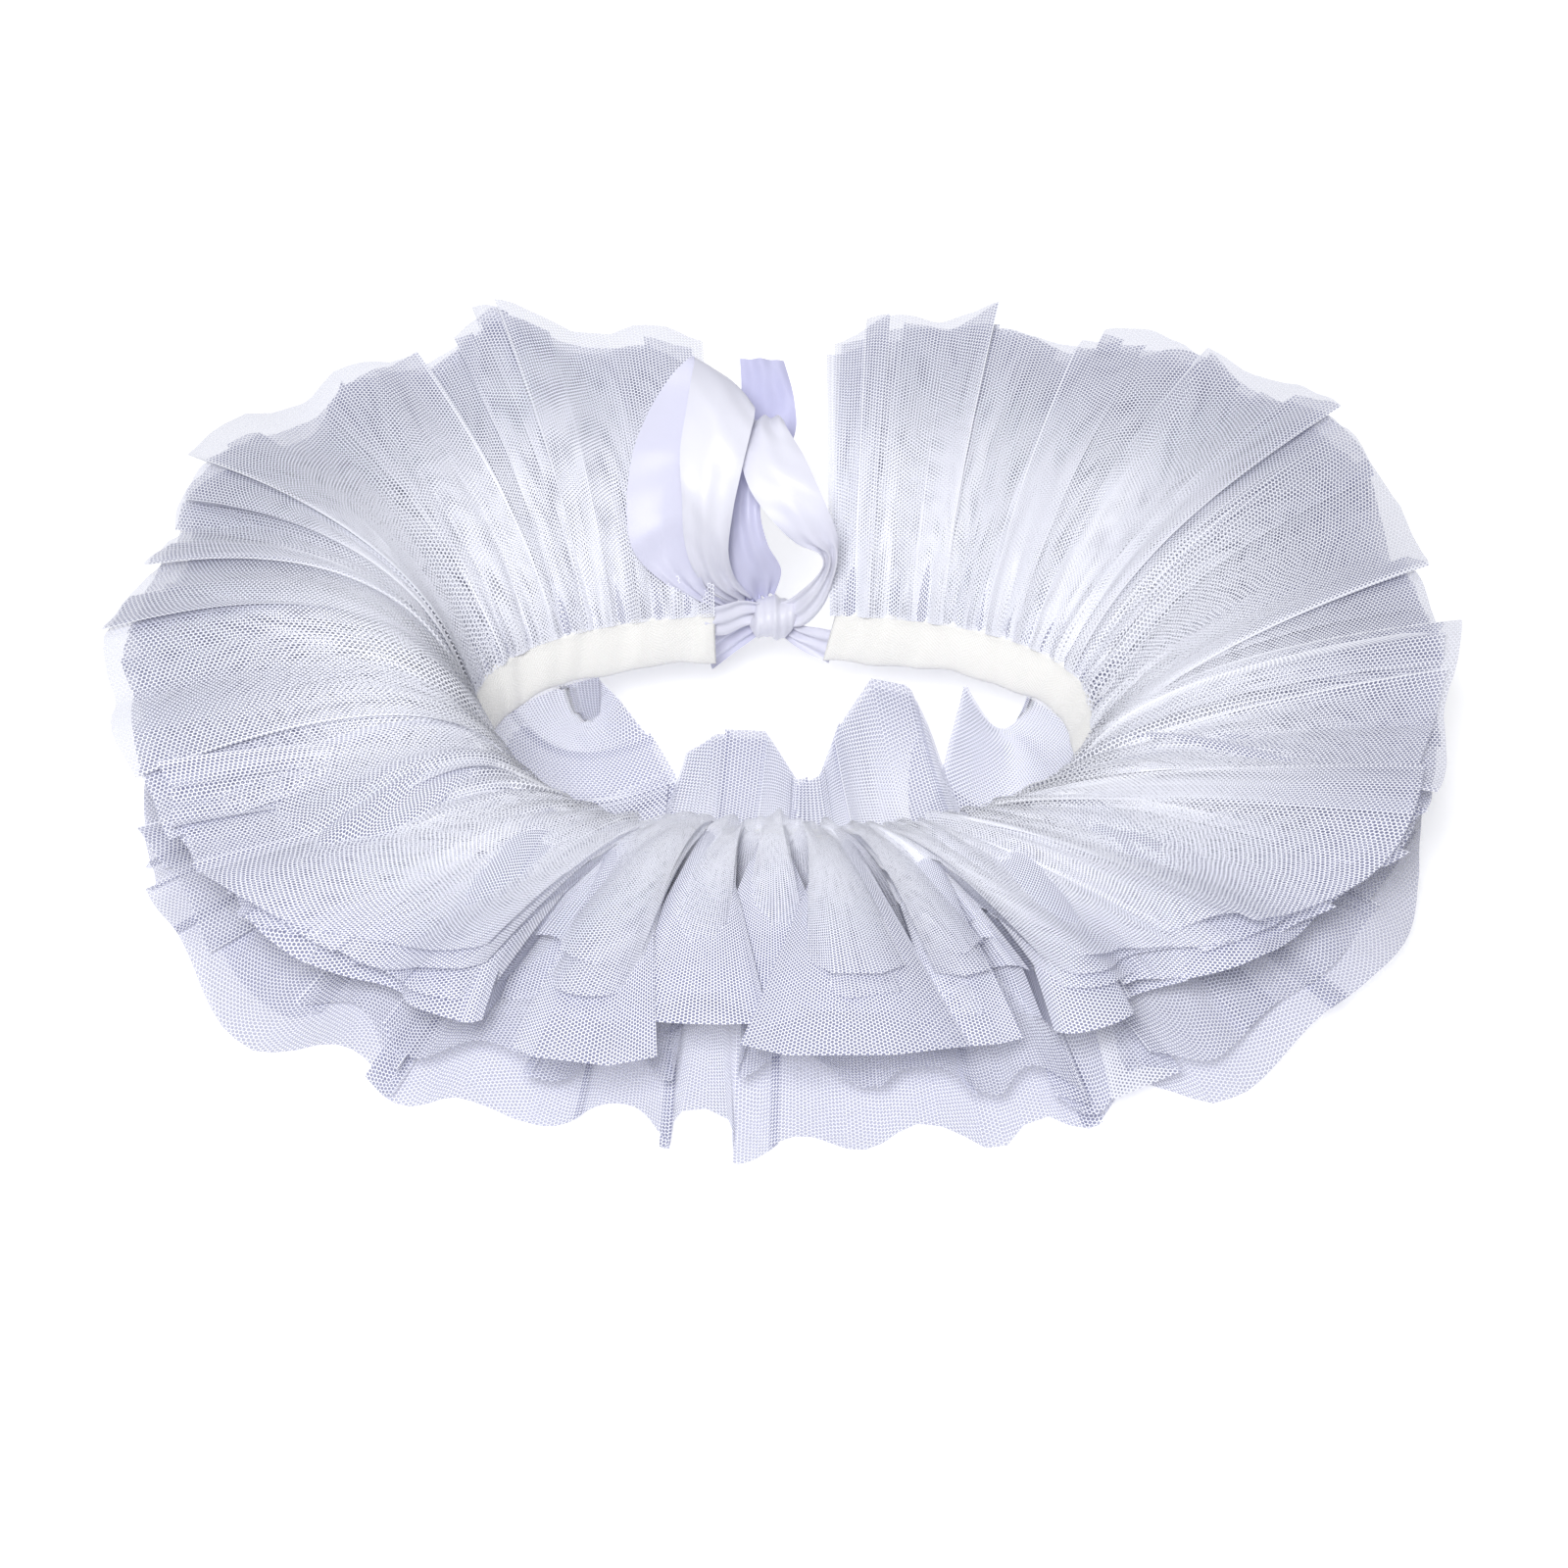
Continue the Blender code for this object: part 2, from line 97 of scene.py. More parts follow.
UPPER_SECTIONS = (
    (0.044, 74.0, 67.0, 62.0, 0.22, 0.000, 2.0, 1.0),
    (0.085, 79.0, 68.0, 64.0, 0.22, 0.000, 4.0, 1.0),
    (0.124, 91.0, 68.0, 64.0, 0.22, 0.000, 4.5, 1.0),
    (0.161, 93.0, 63.0, 64.0, 0.22, -0.005, 5.0, 1.0),
    (0.190, 99.0, 55.0, 68.0, 0.20, -0.020, 5.0, 1.0),
    (0.221, 91.0, 48.0, 74.0, 0.16, -0.045, 5.0, 1.0),
    (0.265, 87.0, 43.0, 92.0, 0.08, -0.060, 5.0, 0.9),
    (0.295, 82.0, 40.0, 104.0, 0.05, -0.070, 5.0, 0.8),
    (0.325, 76.0, 36.0, 92.0, 0.07, -0.078, 5.0, 0.6),
    (0.360, 68.0, 32.0, 60.0, 0.18, -0.080, 5.0, 0.4),
    (0.420, 66.0, 28.0, 48.0, 0.28, -0.080, 5.0, 0.1),
    (0.460, 62.0, 28.0, 50.0, 0.28, -0.050, 5.0, 0.0),
    (0.490, 58.0, 28.0, 50.0, 0.28, -0.010, 5.0, 0.0),
    (0.530, 58.0, 28.0, 44.0, 0.28, 0.040, 5.0, 0.0),
    (0.570, 60.0, 28.0, 44.0, 0.30, 0.075, 5.0, 0.1),
    (0.620, 68.0, 31.0, 50.0, 0.28, 0.080, 5.0, 0.4),
    (0.680, 80.0, 36.0, 58.0, 0.20, 0.070, 5.0, 0.8),
    (0.720, 86.0, 40.0, 64.0, 0.16, 0.065, 5.0, 1.0),
    (0.760, 91.0, 45.0, 66.0, 0.18, 0.040, 5.0, 1.0),
    (0.790, 97.0, 51.0, 64.0, 0.20, 0.015, 5.0, 1.0),
    (0.820, 101.0, 60.0, 64.0, 0.22, 0.005, 4.5, 1.0),
    (0.853, 93.0, 66.0, 64.0, 0.22, 0.000, 4.5, 1.0),
    (0.910, 83.0, 68.0, 64.0, 0.22, 0.000, 4.0, 1.0),
    (0.968, 72.0, 67.0, 62.0, 0.22, 0.000, 2.0, 1.0),
)

LOWER_SECTIONS = (
    (0.050, 70.0, 50.0, 38.0, 0.45, 0.0, 2.0, 0.5),
    (0.100, 82.0, 50.0, 38.0, 0.45, 0.0, 3.5, 0.5),
    (0.160, 97.0, 44.0, 36.0, 0.45, 0.0, 4.0, 0.5),
    (0.205, 96.0, 30.0, 34.0, 0.45, 0.0, 4.5, 0.6),
    (0.250, 86.0, 20.0, 30.0, 0.45, 0.0, 4.5, 0.6),
    (0.300, 84.0, 9.0, 22.0, 0.45, 0.0, 4.5, 0.6),
    (0.350, 76.0, 3.0, 14.0, 0.45, 0.0, 4.5, 0.8),
    (0.410, 70.0, 1.0, 8.0, 0.45, 0.0, 4.5, 0.6),
    (0.490, 72.0, 1.0, 8.0, 0.45, 0.0, 4.5, 0.4),
    (0.560, 72.0, 1.0, 8.0, 0.45, 0.0, 4.2, 0.4),
    (0.620, 79.0, 1.5, 10.0, 0.45, 0.0, 4.5, 0.8),
    (0.670, 82.0, 6.0, 18.0, 0.45, 0.0, 4.5, 0.6),
    (0.710, 86.0, 14.0, 26.0, 0.45, 0.0, 4.5, 0.6),
    (0.760, 88.0, 28.0, 34.0, 0.45, 0.0, 4.5, 0.6),
    (0.805, 96.0, 40.0, 36.0, 0.45, 0.0, 4.0, 0.5),
    (0.850, 90.0, 48.0, 38.0, 0.45, 0.0, 3.5, 0.5),
    (0.910, 80.0, 51.0, 38.0, 0.45, 0.0, 3.5, 0.5),
    (0.962, 68.0, 51.0, 38.0, 0.45, 0.0, 2.0, 0.5),
)

# Large flutes, which all plies of a ruffle share.  Each row holds the share at the hem, the height above the
# ruffle's middle there, and how much further the net reaches.
UPPER_FLUTES = (
    (0.044, 0.0, 0.0), (0.070, 2.5, 1.0), (0.098, -2.5, -2.0), (0.122, 4.0, 3.0), (0.150, -3.0, -4.0),
    (0.169, 3.0, 3.0), (0.180, -2.0, -6.0), (0.202, 3.5, 4.0), (0.215, -2.0, -4.0), (0.236, 2.5, 2.0),
    (0.252, -2.0, -2.0), (0.265, 2.5, 2.0), (0.290, -2.5, -2.0), (0.312, 3.5, 3.0), (0.335, -3.0, -3.0),
    (0.360, 6.0, 9.0), (0.382, -6.0, -16.0), (0.410, 9.0, 15.0), (0.434, -8.0, -20.0), (0.452, 7.0, 2.0),
    (0.474, -7.0, -18.0), (0.494, 6.0, -6.0), (0.514, -7.0, -20.0), (0.540, 10.0, 16.0), (0.566, -7.0, -18.0),
    (0.588, 7.0, 9.0), (0.608, -6.0, -16.0), (0.632, 6.0, 9.0), (0.654, -4.0, -9.0), (0.672, 3.5, 3.0),
    (0.694, -2.5, -2.0), (0.716, 3.0, 2.0), (0.740, -2.5, -2.0), (0.757, 2.5, 1.0), (0.776, -1.0, 2.0),
    (0.786, -2.5, -3.0), (0.805, 3.5, 4.0), (0.822, -2.0, -3.0), (0.842, 3.0, 2.0), (0.868, -2.5, -2.0),
    (0.892, 3.0, 2.0), (0.918, -2.5, -2.0), (0.940, 2.5, 1.0), (0.968, 0.0, 0.0),
)
LOWER_FLUTES = (
    (0.050, 0.0, 0.0), (0.080, 2.0, 1.0), (0.120, -2.0, -2.0), (0.165, 2.5, 2.0), (0.200, -2.0, 0.0),
    (0.230, 2.0, -3.0), (0.262, -2.0, 2.0), (0.285, 2.5, -4.0), (0.312, -2.0, 5.0), (0.330, 3.0, -9.0),
    (0.350, 0.0, 6.0), (0.368, 4.5, -6.0), (0.398, 0.0, 4.0), (0.424, 5.0, -4.0), (0.446, 0.5, 5.0),
    (0.462, 8.0, -16.0), (0.478, 0.5, 6.0), (0.508, 4.0, -3.0), (0.540, 0.0, 5.0), (0.570, 4.5, -3.0),
    (0.594, 0.0, 5.0), (0.610, 4.5, -6.0), (0.628, 0.0, 6.0), (0.645, 4.0, -11.0), (0.664, -0.5, 6.0),
    (0.690, 2.0, 0.0), (0.725, -2.0, 1.0), (0.760, 2.0, 0.0), (0.800, -2.0, 2.0), (0.845, 2.0, 0.0),
    (0.890, -2.0, 0.0), (0.925, 2.0, 0.0), (0.962, 0.0, 0.0),
)
FLUTE_ROLL = 1.3

# The plies of net.  seed: order of the uneven folds.  shorter: how much less it reaches.  lift: height above
# the ruffle's middle at the hem.  width: mean width of a fold at the hem.  lap: most overlap at a fold, as a
# share of the narrower fold.  depth: share of the section's fold depth.  soft: share taken off flat.
# sweep: share of the section's sweep round the neck.  droop: how much lower its hem hangs at the front.
# flute: share of the large flutes.  parted: how much shorter it is at the middle of the front.
# stand: share of the height by which the section's crown stands above a low one.
# step: most step of the hem from fold to fold.  shade: how much painted shade fills the ply's holes, for the
# shade that the others cast on it.
PLY_COLUMNS = ("name", "seed", "shorter", "lift", "width", "lap", "depth", "soft", "sweep", "droop", "flute",
               "parted", "stand", "step", "shade")
UPPER_PLIES = (
    ("upper_net_under", 3, 4.0, -4.0, 34.0, 0.30, 0.30, 0.3, 0.10, 6.0, 1.3, 0.0, 0.3, 1.0, 1.0),
    ("upper_net_middle", 8, 7.0, -1.5, 34.0, 0.42, 0.30, 0.0, 0.55, 2.0, 0.9, 8.0, 0.7, 3.3, 0.3),
    ("upper_net_inner", 34, 5.0, 1.5, 30.0, 0.45, 0.32, 0.0, 0.80, 0.0, 0.8, 15.0, 0.9, 4.2, 0.0),
    ("upper_net_top", 21, 6.0, 4.5, 40.0, 0.50, 0.34, 0.0, 1.00, 0.0, 0.8, 20.0, 1.0, 4.5, 0.0),
)
LOWER_PLIES = (
    ("lower_net_under", 5, 0.0, -1.5, 44.0, 0.34, 0.40, 0.4, 0.0, 0.0, 1.0, 0.0, 1.0, 1.5, 1.0),
    ("lower_net_top", 14, 7.0, 2.5, 34.0, 0.40, 0.40, 0.0, 0.0, -7.0, 1.2, 4.0, 1.0, 4.0, 0.2),
)
# A low crown, above which the plies stand by their own shares.
LOW_CROWN = 64.0
# Where the front begins and ends, as shares round the neck.
FRONT = (0.30, 0.40, 0.60, 0.70)
FRONT_MIDDLE = (0.40, 0.46, 0.54, 0.60)

# The lower net also falls inside the neck, in three panels that lie on the surface.
# hem_x, hem_y: where a panel's hem lies in plan.  hem_z: its height.
INNER_COLUMNS = ("share", "hem_x", "hem_y", "hem_z", "depth", "flat")
INNER_PANELS = {
    "inner_left": (
        (0.125, -47.0, 34.0, 19.0, 0.2, 0.0),
        (0.160, -41.0, 33.0, 13.0, 1.0, 0.4),
        (0.195, -33.0, 26.0, 6.0, 2.0, 0.7),
        (0.250, -26.5, 16.0, 1.4, 2.4, 0.8),
        (0.295, -27.5, 0.0, 1.4, 2.4, 0.8),
        (0.330, -34.0, -14.0, 1.4, 2.0, 0.8),
    ),
    "inner_front": (
        (0.385, -26.0, 12.0, 1.4, 0.4, 0.0),
        (0.410, -24.0, 25.0, 3.0, 1.6, 0.3),
        (0.445, -17.0, 30.5, 4.5, 2.4, 0.3),
        (0.475, -4.0, 30.5, 3.0, 2.2, 0.5),
        (0.505, 4.0, 14.0, 1.4, 1.6, 0.8),
        (0.540, 9.6, 17.0, 1.4, 2.0, 0.8),
        (0.565, 15.0, 32.0, 6.0, 2.4, 0.8),
        (0.595, 23.0, 39.5, 14.0, 2.2, 0.8),
        (0.625, 33.0, 39.5, 11.0, 2.0, 0.8),
        (0.645, 38.5, 27.0, 4.0, 1.4, 0.5),
    ),
    "inner_right": (
        (0.665, 36.0, -2.0, 1.4, 1.8, 0.8),
        (0.710, 40.0, 13.0, 2.0, 2.0, 0.8),
        (0.770, 43.5, 27.0, 6.0, 1.6, 0.6),
        (0.830, 47.0, 37.0, 15.0, 0.4, 0.3),
    ),
}
INNER_ROOT_ALONG = -7.0
INNER_FALL_Z = -4.0
INNER_TURN = 0.3
INNER_PLIES = 2
INNER_FOLD_WIDTH = 24.0
# Lap of those folds and how sharp the sharpest is.
INNER_LAP = 0.30
INNER_FLAT = 0.8

# How far the net's shade follows its facing and not its small folds.
FACING_SHARE = 0.6
ROUND_FACING = 0.2
# Gathering closes the net's holes up to this many times.
MOST_GATHERED = 2.6
# Share of the full painted shade in the holes that every ply has at its hem, and how far down the ply that
# painted shade starts.
HEM_SHADE = 0.7
HEM_SHADE_START = 0.55

# Where a fold is looked at along a panel and along its return, as shares; close together at its edges.
PANEL_STEPS = (0.0, 0.012, 0.04, 0.09, 0.15, 0.21, 0.27, 0.33, 0.39, 0.45, 0.51, 0.57, 0.63, 0.69, 0.75,
               0.81, 0.87, 0.92, 0.965, 0.988, 1.0)
RETURN_STEPS = (0.04, 0.28, 0.5, 0.72, 0.96)
ROUND_SHARE = 0.94
# Depth of a fold at the root, as a share of its depth at the hem.
ROOT_DEPTH = 0.10
PLEAT_LEAN = 0.5

# Ribbons of the bow, each with its cup and its rows.  A row holds a point on one edge and the point across
# from it on the other edge: x, y, z, then x, y, z.  The last number is how much painted shade the ribbon's
# colour takes there, where it lies in shade.
RIBBON_STEPS = 10
RIBBON_ACROSS = 20
RIBBON_WIDTH = 18.0
# Depth of the folds along a ribbon where it is drawn together, in millimetres.
FOLD_DEPTH = 1.6
RIBBONS = {
    "tie_left": (0.6, (
        (-20.2, 39.8, 36.7, -18.8, 39.8, 28.9, 0.2),
        (-15.2, 41.2, 37.7, -14.0, 41.0, 27.5, 0.1),
        (-10.6, 43.2, 37.8, -9.1, 42.6, 29.0, 0.1),
        (-6.0, 44.6, 35.9, -4.8, 44.2, 29.5, 0.2),
    )),
    "tie_right": (0.5, (
        (14.9, 39.2, 30.1, 12.0, 39.0, 19.9, 0.3),
        (10.1, 41.0, 29.8, 7.7, 40.4, 21.3, 0.2),
        (4.8, 43.0, 29.3, 2.9, 42.4, 23.7, 0.2),
        (0.0, 44.4, 31.9, -0.5, 44.0, 26.4, 0.3),
    )),
    "bow_loop_left": (1.8, (
        (-11.5, 45.2, 34.4, -7.7, 46.8, 36.2, 0.2),
        (-19.7, 42.6, 43.3, -11.5, 44.1, 43.5, 0.1),
        (-24.1, 43.2, 55.6, -13.2, 41.9, 54.2, 0.05),
        (-24.8, 46.8, 68.6, -12.0, 44.2, 66.1, 0.0),
        (-25.3, 54.2, 76.5, -9.6, 51.1, 74.4, 0.0),
        (-23.8, 64.2, 82.1, -7.7, 57.8, 79.5, 0.05),
        (-22.6, 74.1, 84.9, -6.7, 63.0, 80.9, 0.1),
        (-21.9, 82.6, 84.6, -7.0, 67.3, 80.3, 0.2),
        (-24.1, 85.7, 81.1, -8.7, 68.1, 77.9, 0.35),
        (-30.8, 79.7, 76.2, -12.5, 63.3, 73.1, 0.35),
        (-36.6, 67.0, 69.8, -17.3, 55.3, 67.4, 0.35),
        (-39.0, 55.0, 61.2, -21.2, 48.0, 59.4, 0.35),
        (-37.3, 46.1, 51.4, -21.2, 43.7, 50.3, 0.4),
        (-28.9, 41.5, 43.6, -18.8, 41.0, 43.1, 0.4),
        (-18.8, 41.3, 37.6, -14.0, 41.6, 37.9, 0.4),
        (-10.8, 43.5, 32.7, -9.1, 44.9, 34.1, 0.4),
    )),
    "bow_loop_right": (1.2, (
        (-3.6, 45.6, 33.4, -1.2, 43.5, 30.2, 0.1),
        (1.9, 43.8, 37.3, 5.3, 41.2, 30.5, 0.05),
        (6.7, 41.8, 44.0, 10.8, 40.4, 38.1, 0.0),
        (10.3, 41.2, 50.6, 13.5, 41.2, 47.7, 0.0),
        (9.1, 41.1, 54.9, 14.4, 42.2, 54.6, 0.1),
        (3.6, 41.1, 57.8, 14.2, 42.1, 58.9, 0.2),
        (-2.4, 43.5, 63.4, 12.0, 44.3, 65.0, 0.15),
        (-7.7, 48.0, 69.1, 8.7, 49.4, 70.8, 0.1),
        (-10.1, 54.7, 73.8, 5.3, 55.7, 75.1, 0.1),
        (-10.3, 63.1, 76.6, 1.4, 62.9, 77.4, 0.15),
        (-8.2, 69.2, 75.6, 0.2, 67.9, 76.1, 0.3),
        (-11.5, 68.3, 71.9, -0.7, 68.9, 72.0, 0.6),
        (-14.0, 60.8, 65.7, -3.6, 61.3, 65.9, 0.65),
        (-14.9, 52.4, 58.7, -5.3, 53.0, 59.1, 0.6),
        (-14.4, 46.8, 49.2, -3.4, 48.7, 51.3, 0.6),
        (-11.5, 45.5, 40.6, 0.0, 47.3, 43.9, 0.6),
        (-7.7, 46.3, 34.1, -1.9, 47.6, 35.5, 0.6),
    )),
    "tail_standing": (0.6, (
        (-9.1, 46.3, 32.7, -4.8, 47.3, 33.8, 0.8),
        (-14.0, 54.1, 41.0, -6.7, 55.7, 41.2, 0.8),
        (-14.9, 63.9, 53.2, -6.0, 66.6, 52.4, 0.8),
        (-12.5, 74.5, 63.1, 2.9, 76.3, 62.7, 0.9),
        (-10.3, 84.9, 69.9, 3.4, 83.5, 69.6, 0.9),
        (-10.6, 94.2, 75.4, 0.7, 93.6, 75.3, 0.8),
    )),
    "tail_short": (0.5, (
        (-8.4, 45.5, 30.3, -3.6, 45.5, 26.4, 0.5),
        (-14.0, 46.0, 26.6, -9.6, 46.2, 19.9, 0.45),
        (-18.8, 46.3, 22.4, -14.0, 46.6, 15.0, 0.4),
        (-22.1, 46.6, 18.9, -17.8, 47.0, 11.4, 0.4),
    )),
}
KNOT_PLACE = (-2.0, 44.0, 31.0)
KNOT_HALF = (5.6, 5.2, 5.4)
KNOT_RINGS = 48
KNOT_AROUND = 96

# Camera and stage.
CAMERA_AIM = (-0.0001, -0.0185, 0.0280)
FLOOR_SIZE = 40.0


# ---------------------------------------------------------------------------------------------- the neck


def signed_power(value, power):
    return np.copysign(np.abs(value) ** power, value)


def neck_line():
    """Return the neck oval as arrays: share of its length, point and outward direction, in plan."""
    angle = np.linspace(0.0, 2.0 * math.pi, NECK_SAMPLES + 1)
    power = 2.0 / NECK_SQUARENESS
    x = -NECK_HALF_WIDTH * signed_power(np.sin(angle), power)
    y = NECK_HALF_DEPTH * signed_power(np.cos(angle), power)
    lengths = np.concatenate(([0.0], np.cumsum(np.hypot(np.diff(x), np.diff(y)))))
    slope_x = signed_power(x / NECK_HALF_WIDTH, NECK_SQUARENESS - 1.0) / NECK_HALF_WIDTH
    slope_y = signed_power(y / NECK_HALF_DEPTH, NECK_SQUARENESS - 1.0) / NECK_HALF_DEPTH
    size = np.hypot(slope_x, slope_y)
    return lengths / lengths[-1], x, y, slope_x / size, slope_y / size


NECK_LINE = neck_line()


def unit(vectors):
    return vectors / np.maximum(np.linalg.norm(vectors, axis=-1, keepdims=True), 1e-9)


def neck_place(share):
    """Return the neck line's points and outward directions at shares of its length from the back."""
    known, x, y, out_x, out_y = NECK_LINE
    zero = np.zeros_like(share)
    place = np.stack((np.interp(share, known, x), np.interp(share, known, y), zero), axis=-1)
    out = np.stack((np.interp(share, known, out_x), np.interp(share, known, out_y), zero), axis=-1)
    return place, unit(out)


def band_point(share, along, off):
    """Return points on the binding: along its height from the middle, and off its outer face."""
    place, out = neck_place(share)
    rise = out * math.sin(BAND_LEAN) + UP * math.cos(BAND_LEAN)
    face = out * math.cos(BAND_LEAN) - UP * math.sin(BAND_LEAN)
    along = np.broadcast_to(along, share.shape)[..., None]
    off = np.broadcast_to(off, share.shape)[..., None]
    return place + UP * BAND_MIDDLE_Z + rise * along + face * off


def section_values(names, sections, share):
    """Return each column of a table, read at the given shares."""
    table = dict(zip(names, zip(*sections)))
    return {name: np.interp(share, table["share"], table[name]) for name in names}


# ---------------------------------------------------------------------------------------------- folds


def fold_bounds(run, share, width, random):
    """Return the shares where one fold ends and the next begins, of uneven widths along the hem."""
    widths = []
    while sum(widths) < run[-1]:
        widths.append(width * 2.0 ** random.uniform(-1.7, 0.9))
    ends = np.concatenate(([0.0], np.cumsum(widths)))
    return np.interp(ends * run[-1] / ends[-1], run, share)


def fold_lines(bounds, lap, flat_at, random):
    """Walk the folds and return one entry for each line of them: share, level from -1 to 1, crease and fold.

    Each fold is a flat panel, then a return under or over it to where the next panel begins.
    """
    count = len(bounds) - 1
    over = random.random(count + 1) < 0.62
    widths = np.diff(bounds)
    laps = np.zeros(count + 1)
    laps[1:-1] = np.minimum(widths[:-1], widths[1:]) * random.uniform(0.3, 1.0, count - 1) * lap
    lines = []
    for fold in range(count):
        left, right = bounds[fold] - laps[fold], bounds[fold + 1] + laps[fold + 1]
        low, high = (-1.0 if over[fold] else 1.0), (1.0 if over[fold + 1] else -1.0)
        after = bounds[fold + 1] - laps[fold + 1]
        flat = flat_at(0.5 * (bounds[fold] + bounds[fold + 1]))
        sign = 1.0 if fold % 2 else -1.0
        for step in PANEL_STEPS:
            sharp = (left + (right - left) * step, low + (high - low) * step)
            across = ROUND_SHARE * step
            rounded = (bounds[fold] + widths[fold] * across, sign * math.sin(math.pi * across))
            crease = 1.0 if step in (PANEL_STEPS[0], PANEL_STEPS[-1]) else 0.0
            lines.append((*blend(rounded, sharp, flat), crease * flat, fold + 0.999 * step))
        if fold == count - 1:
            break
        for step in RETURN_STEPS:
            sharp = (right + (after - right) * step, high - 2.0 * high * step)
            across = ROUND_SHARE + (1.0 - ROUND_SHARE) * step
            rounded = (bounds[fold] + widths[fold] * across, sign * math.sin(math.pi * across))
            lines.append((*blend(rounded, sharp, flat), 0.0, fold + 1.0))
    return np.array(lines)


def blend(first, second, share):
    return tuple(a + (b - a) * share for a, b in zip(first, second))


def panel_steps(fold, size, tilt, count, random):
    """Return a value for each line that steps from panel to panel and leans by tilt across each panel."""
    panel = np.floor(fold).astype(int)
    steps = random.uniform(-size, size, count)[panel]
    return steps + random.uniform(-tilt, tilt, count)[panel] * (fold - panel - 0.5)


def ripples(across, down, waves, random):
    """Return an uneven height from crossed waves: each a length across, a count down and a size."""
    height = np.zeros(np.broadcast(across, down).shape)
    for length, turns, size in waves:
        shift, tilt = random.uniform(0.0, 2.0 * math.pi, 2)
        height += size * np.sin(2.0 * math.pi * across / length + shift + turns * math.pi * down + tilt)
    return height


def path_lengths(points, axis):
    return np.linalg.norm(np.diff(points, axis=axis), axis=-1)


def cloth_map(grid, width):
    """Return a gathered grid's flat coordinates, root row first, how far it is gathered and its length.

    The length is the mean of the outer half's rows.  The hem's own length is greater, so the real strip is
    longer: the finest gathers at the seam are smaller than the mesh, and their area is missing here.
    """
    rows, count = grid.shape[:2]
    row_lengths = np.array([path_lengths(row, 0).sum() for row in grid])
    hem = np.concatenate(([0.0], np.cumsum(path_lengths(grid[row_lengths.argmax()], 0))))
    down = np.concatenate((np.zeros((1, count)), np.cumsum(path_lengths(grid, 0), axis=0)))
    down = down / down[-1] * width
    across = np.broadcast_to(hem, (rows, count))
    gathered = np.broadcast_to(np.minimum(hem[-1] / row_lengths, MOST_GATHERED)[:, None], (rows, count))
    return np.stack((across, down), axis=-1), gathered, float(row_lengths[rows // 2:].mean())


def flute_values(flutes, share):
    """Return the large flutes' height and further reach at hem shares, on a smooth line through the table."""
    rows = np.array(flutes)
    span = np.clip(np.searchsorted(rows[:, 0], share, side="right") - 1, 0, len(rows) - 2)
    t = np.clip((share - rows[span, 0]) / (rows[span + 1, 0] - rows[span, 0]), 0.0, 1.0)
    ease = t * t * (3.0 - 2.0 * t)
    height = rows[span, 1] + (rows[span + 1, 1] - rows[span, 1]) * ease
    further = rows[span, 2] + (rows[span + 1, 2] - rows[span, 2]) * ease
    return height, further


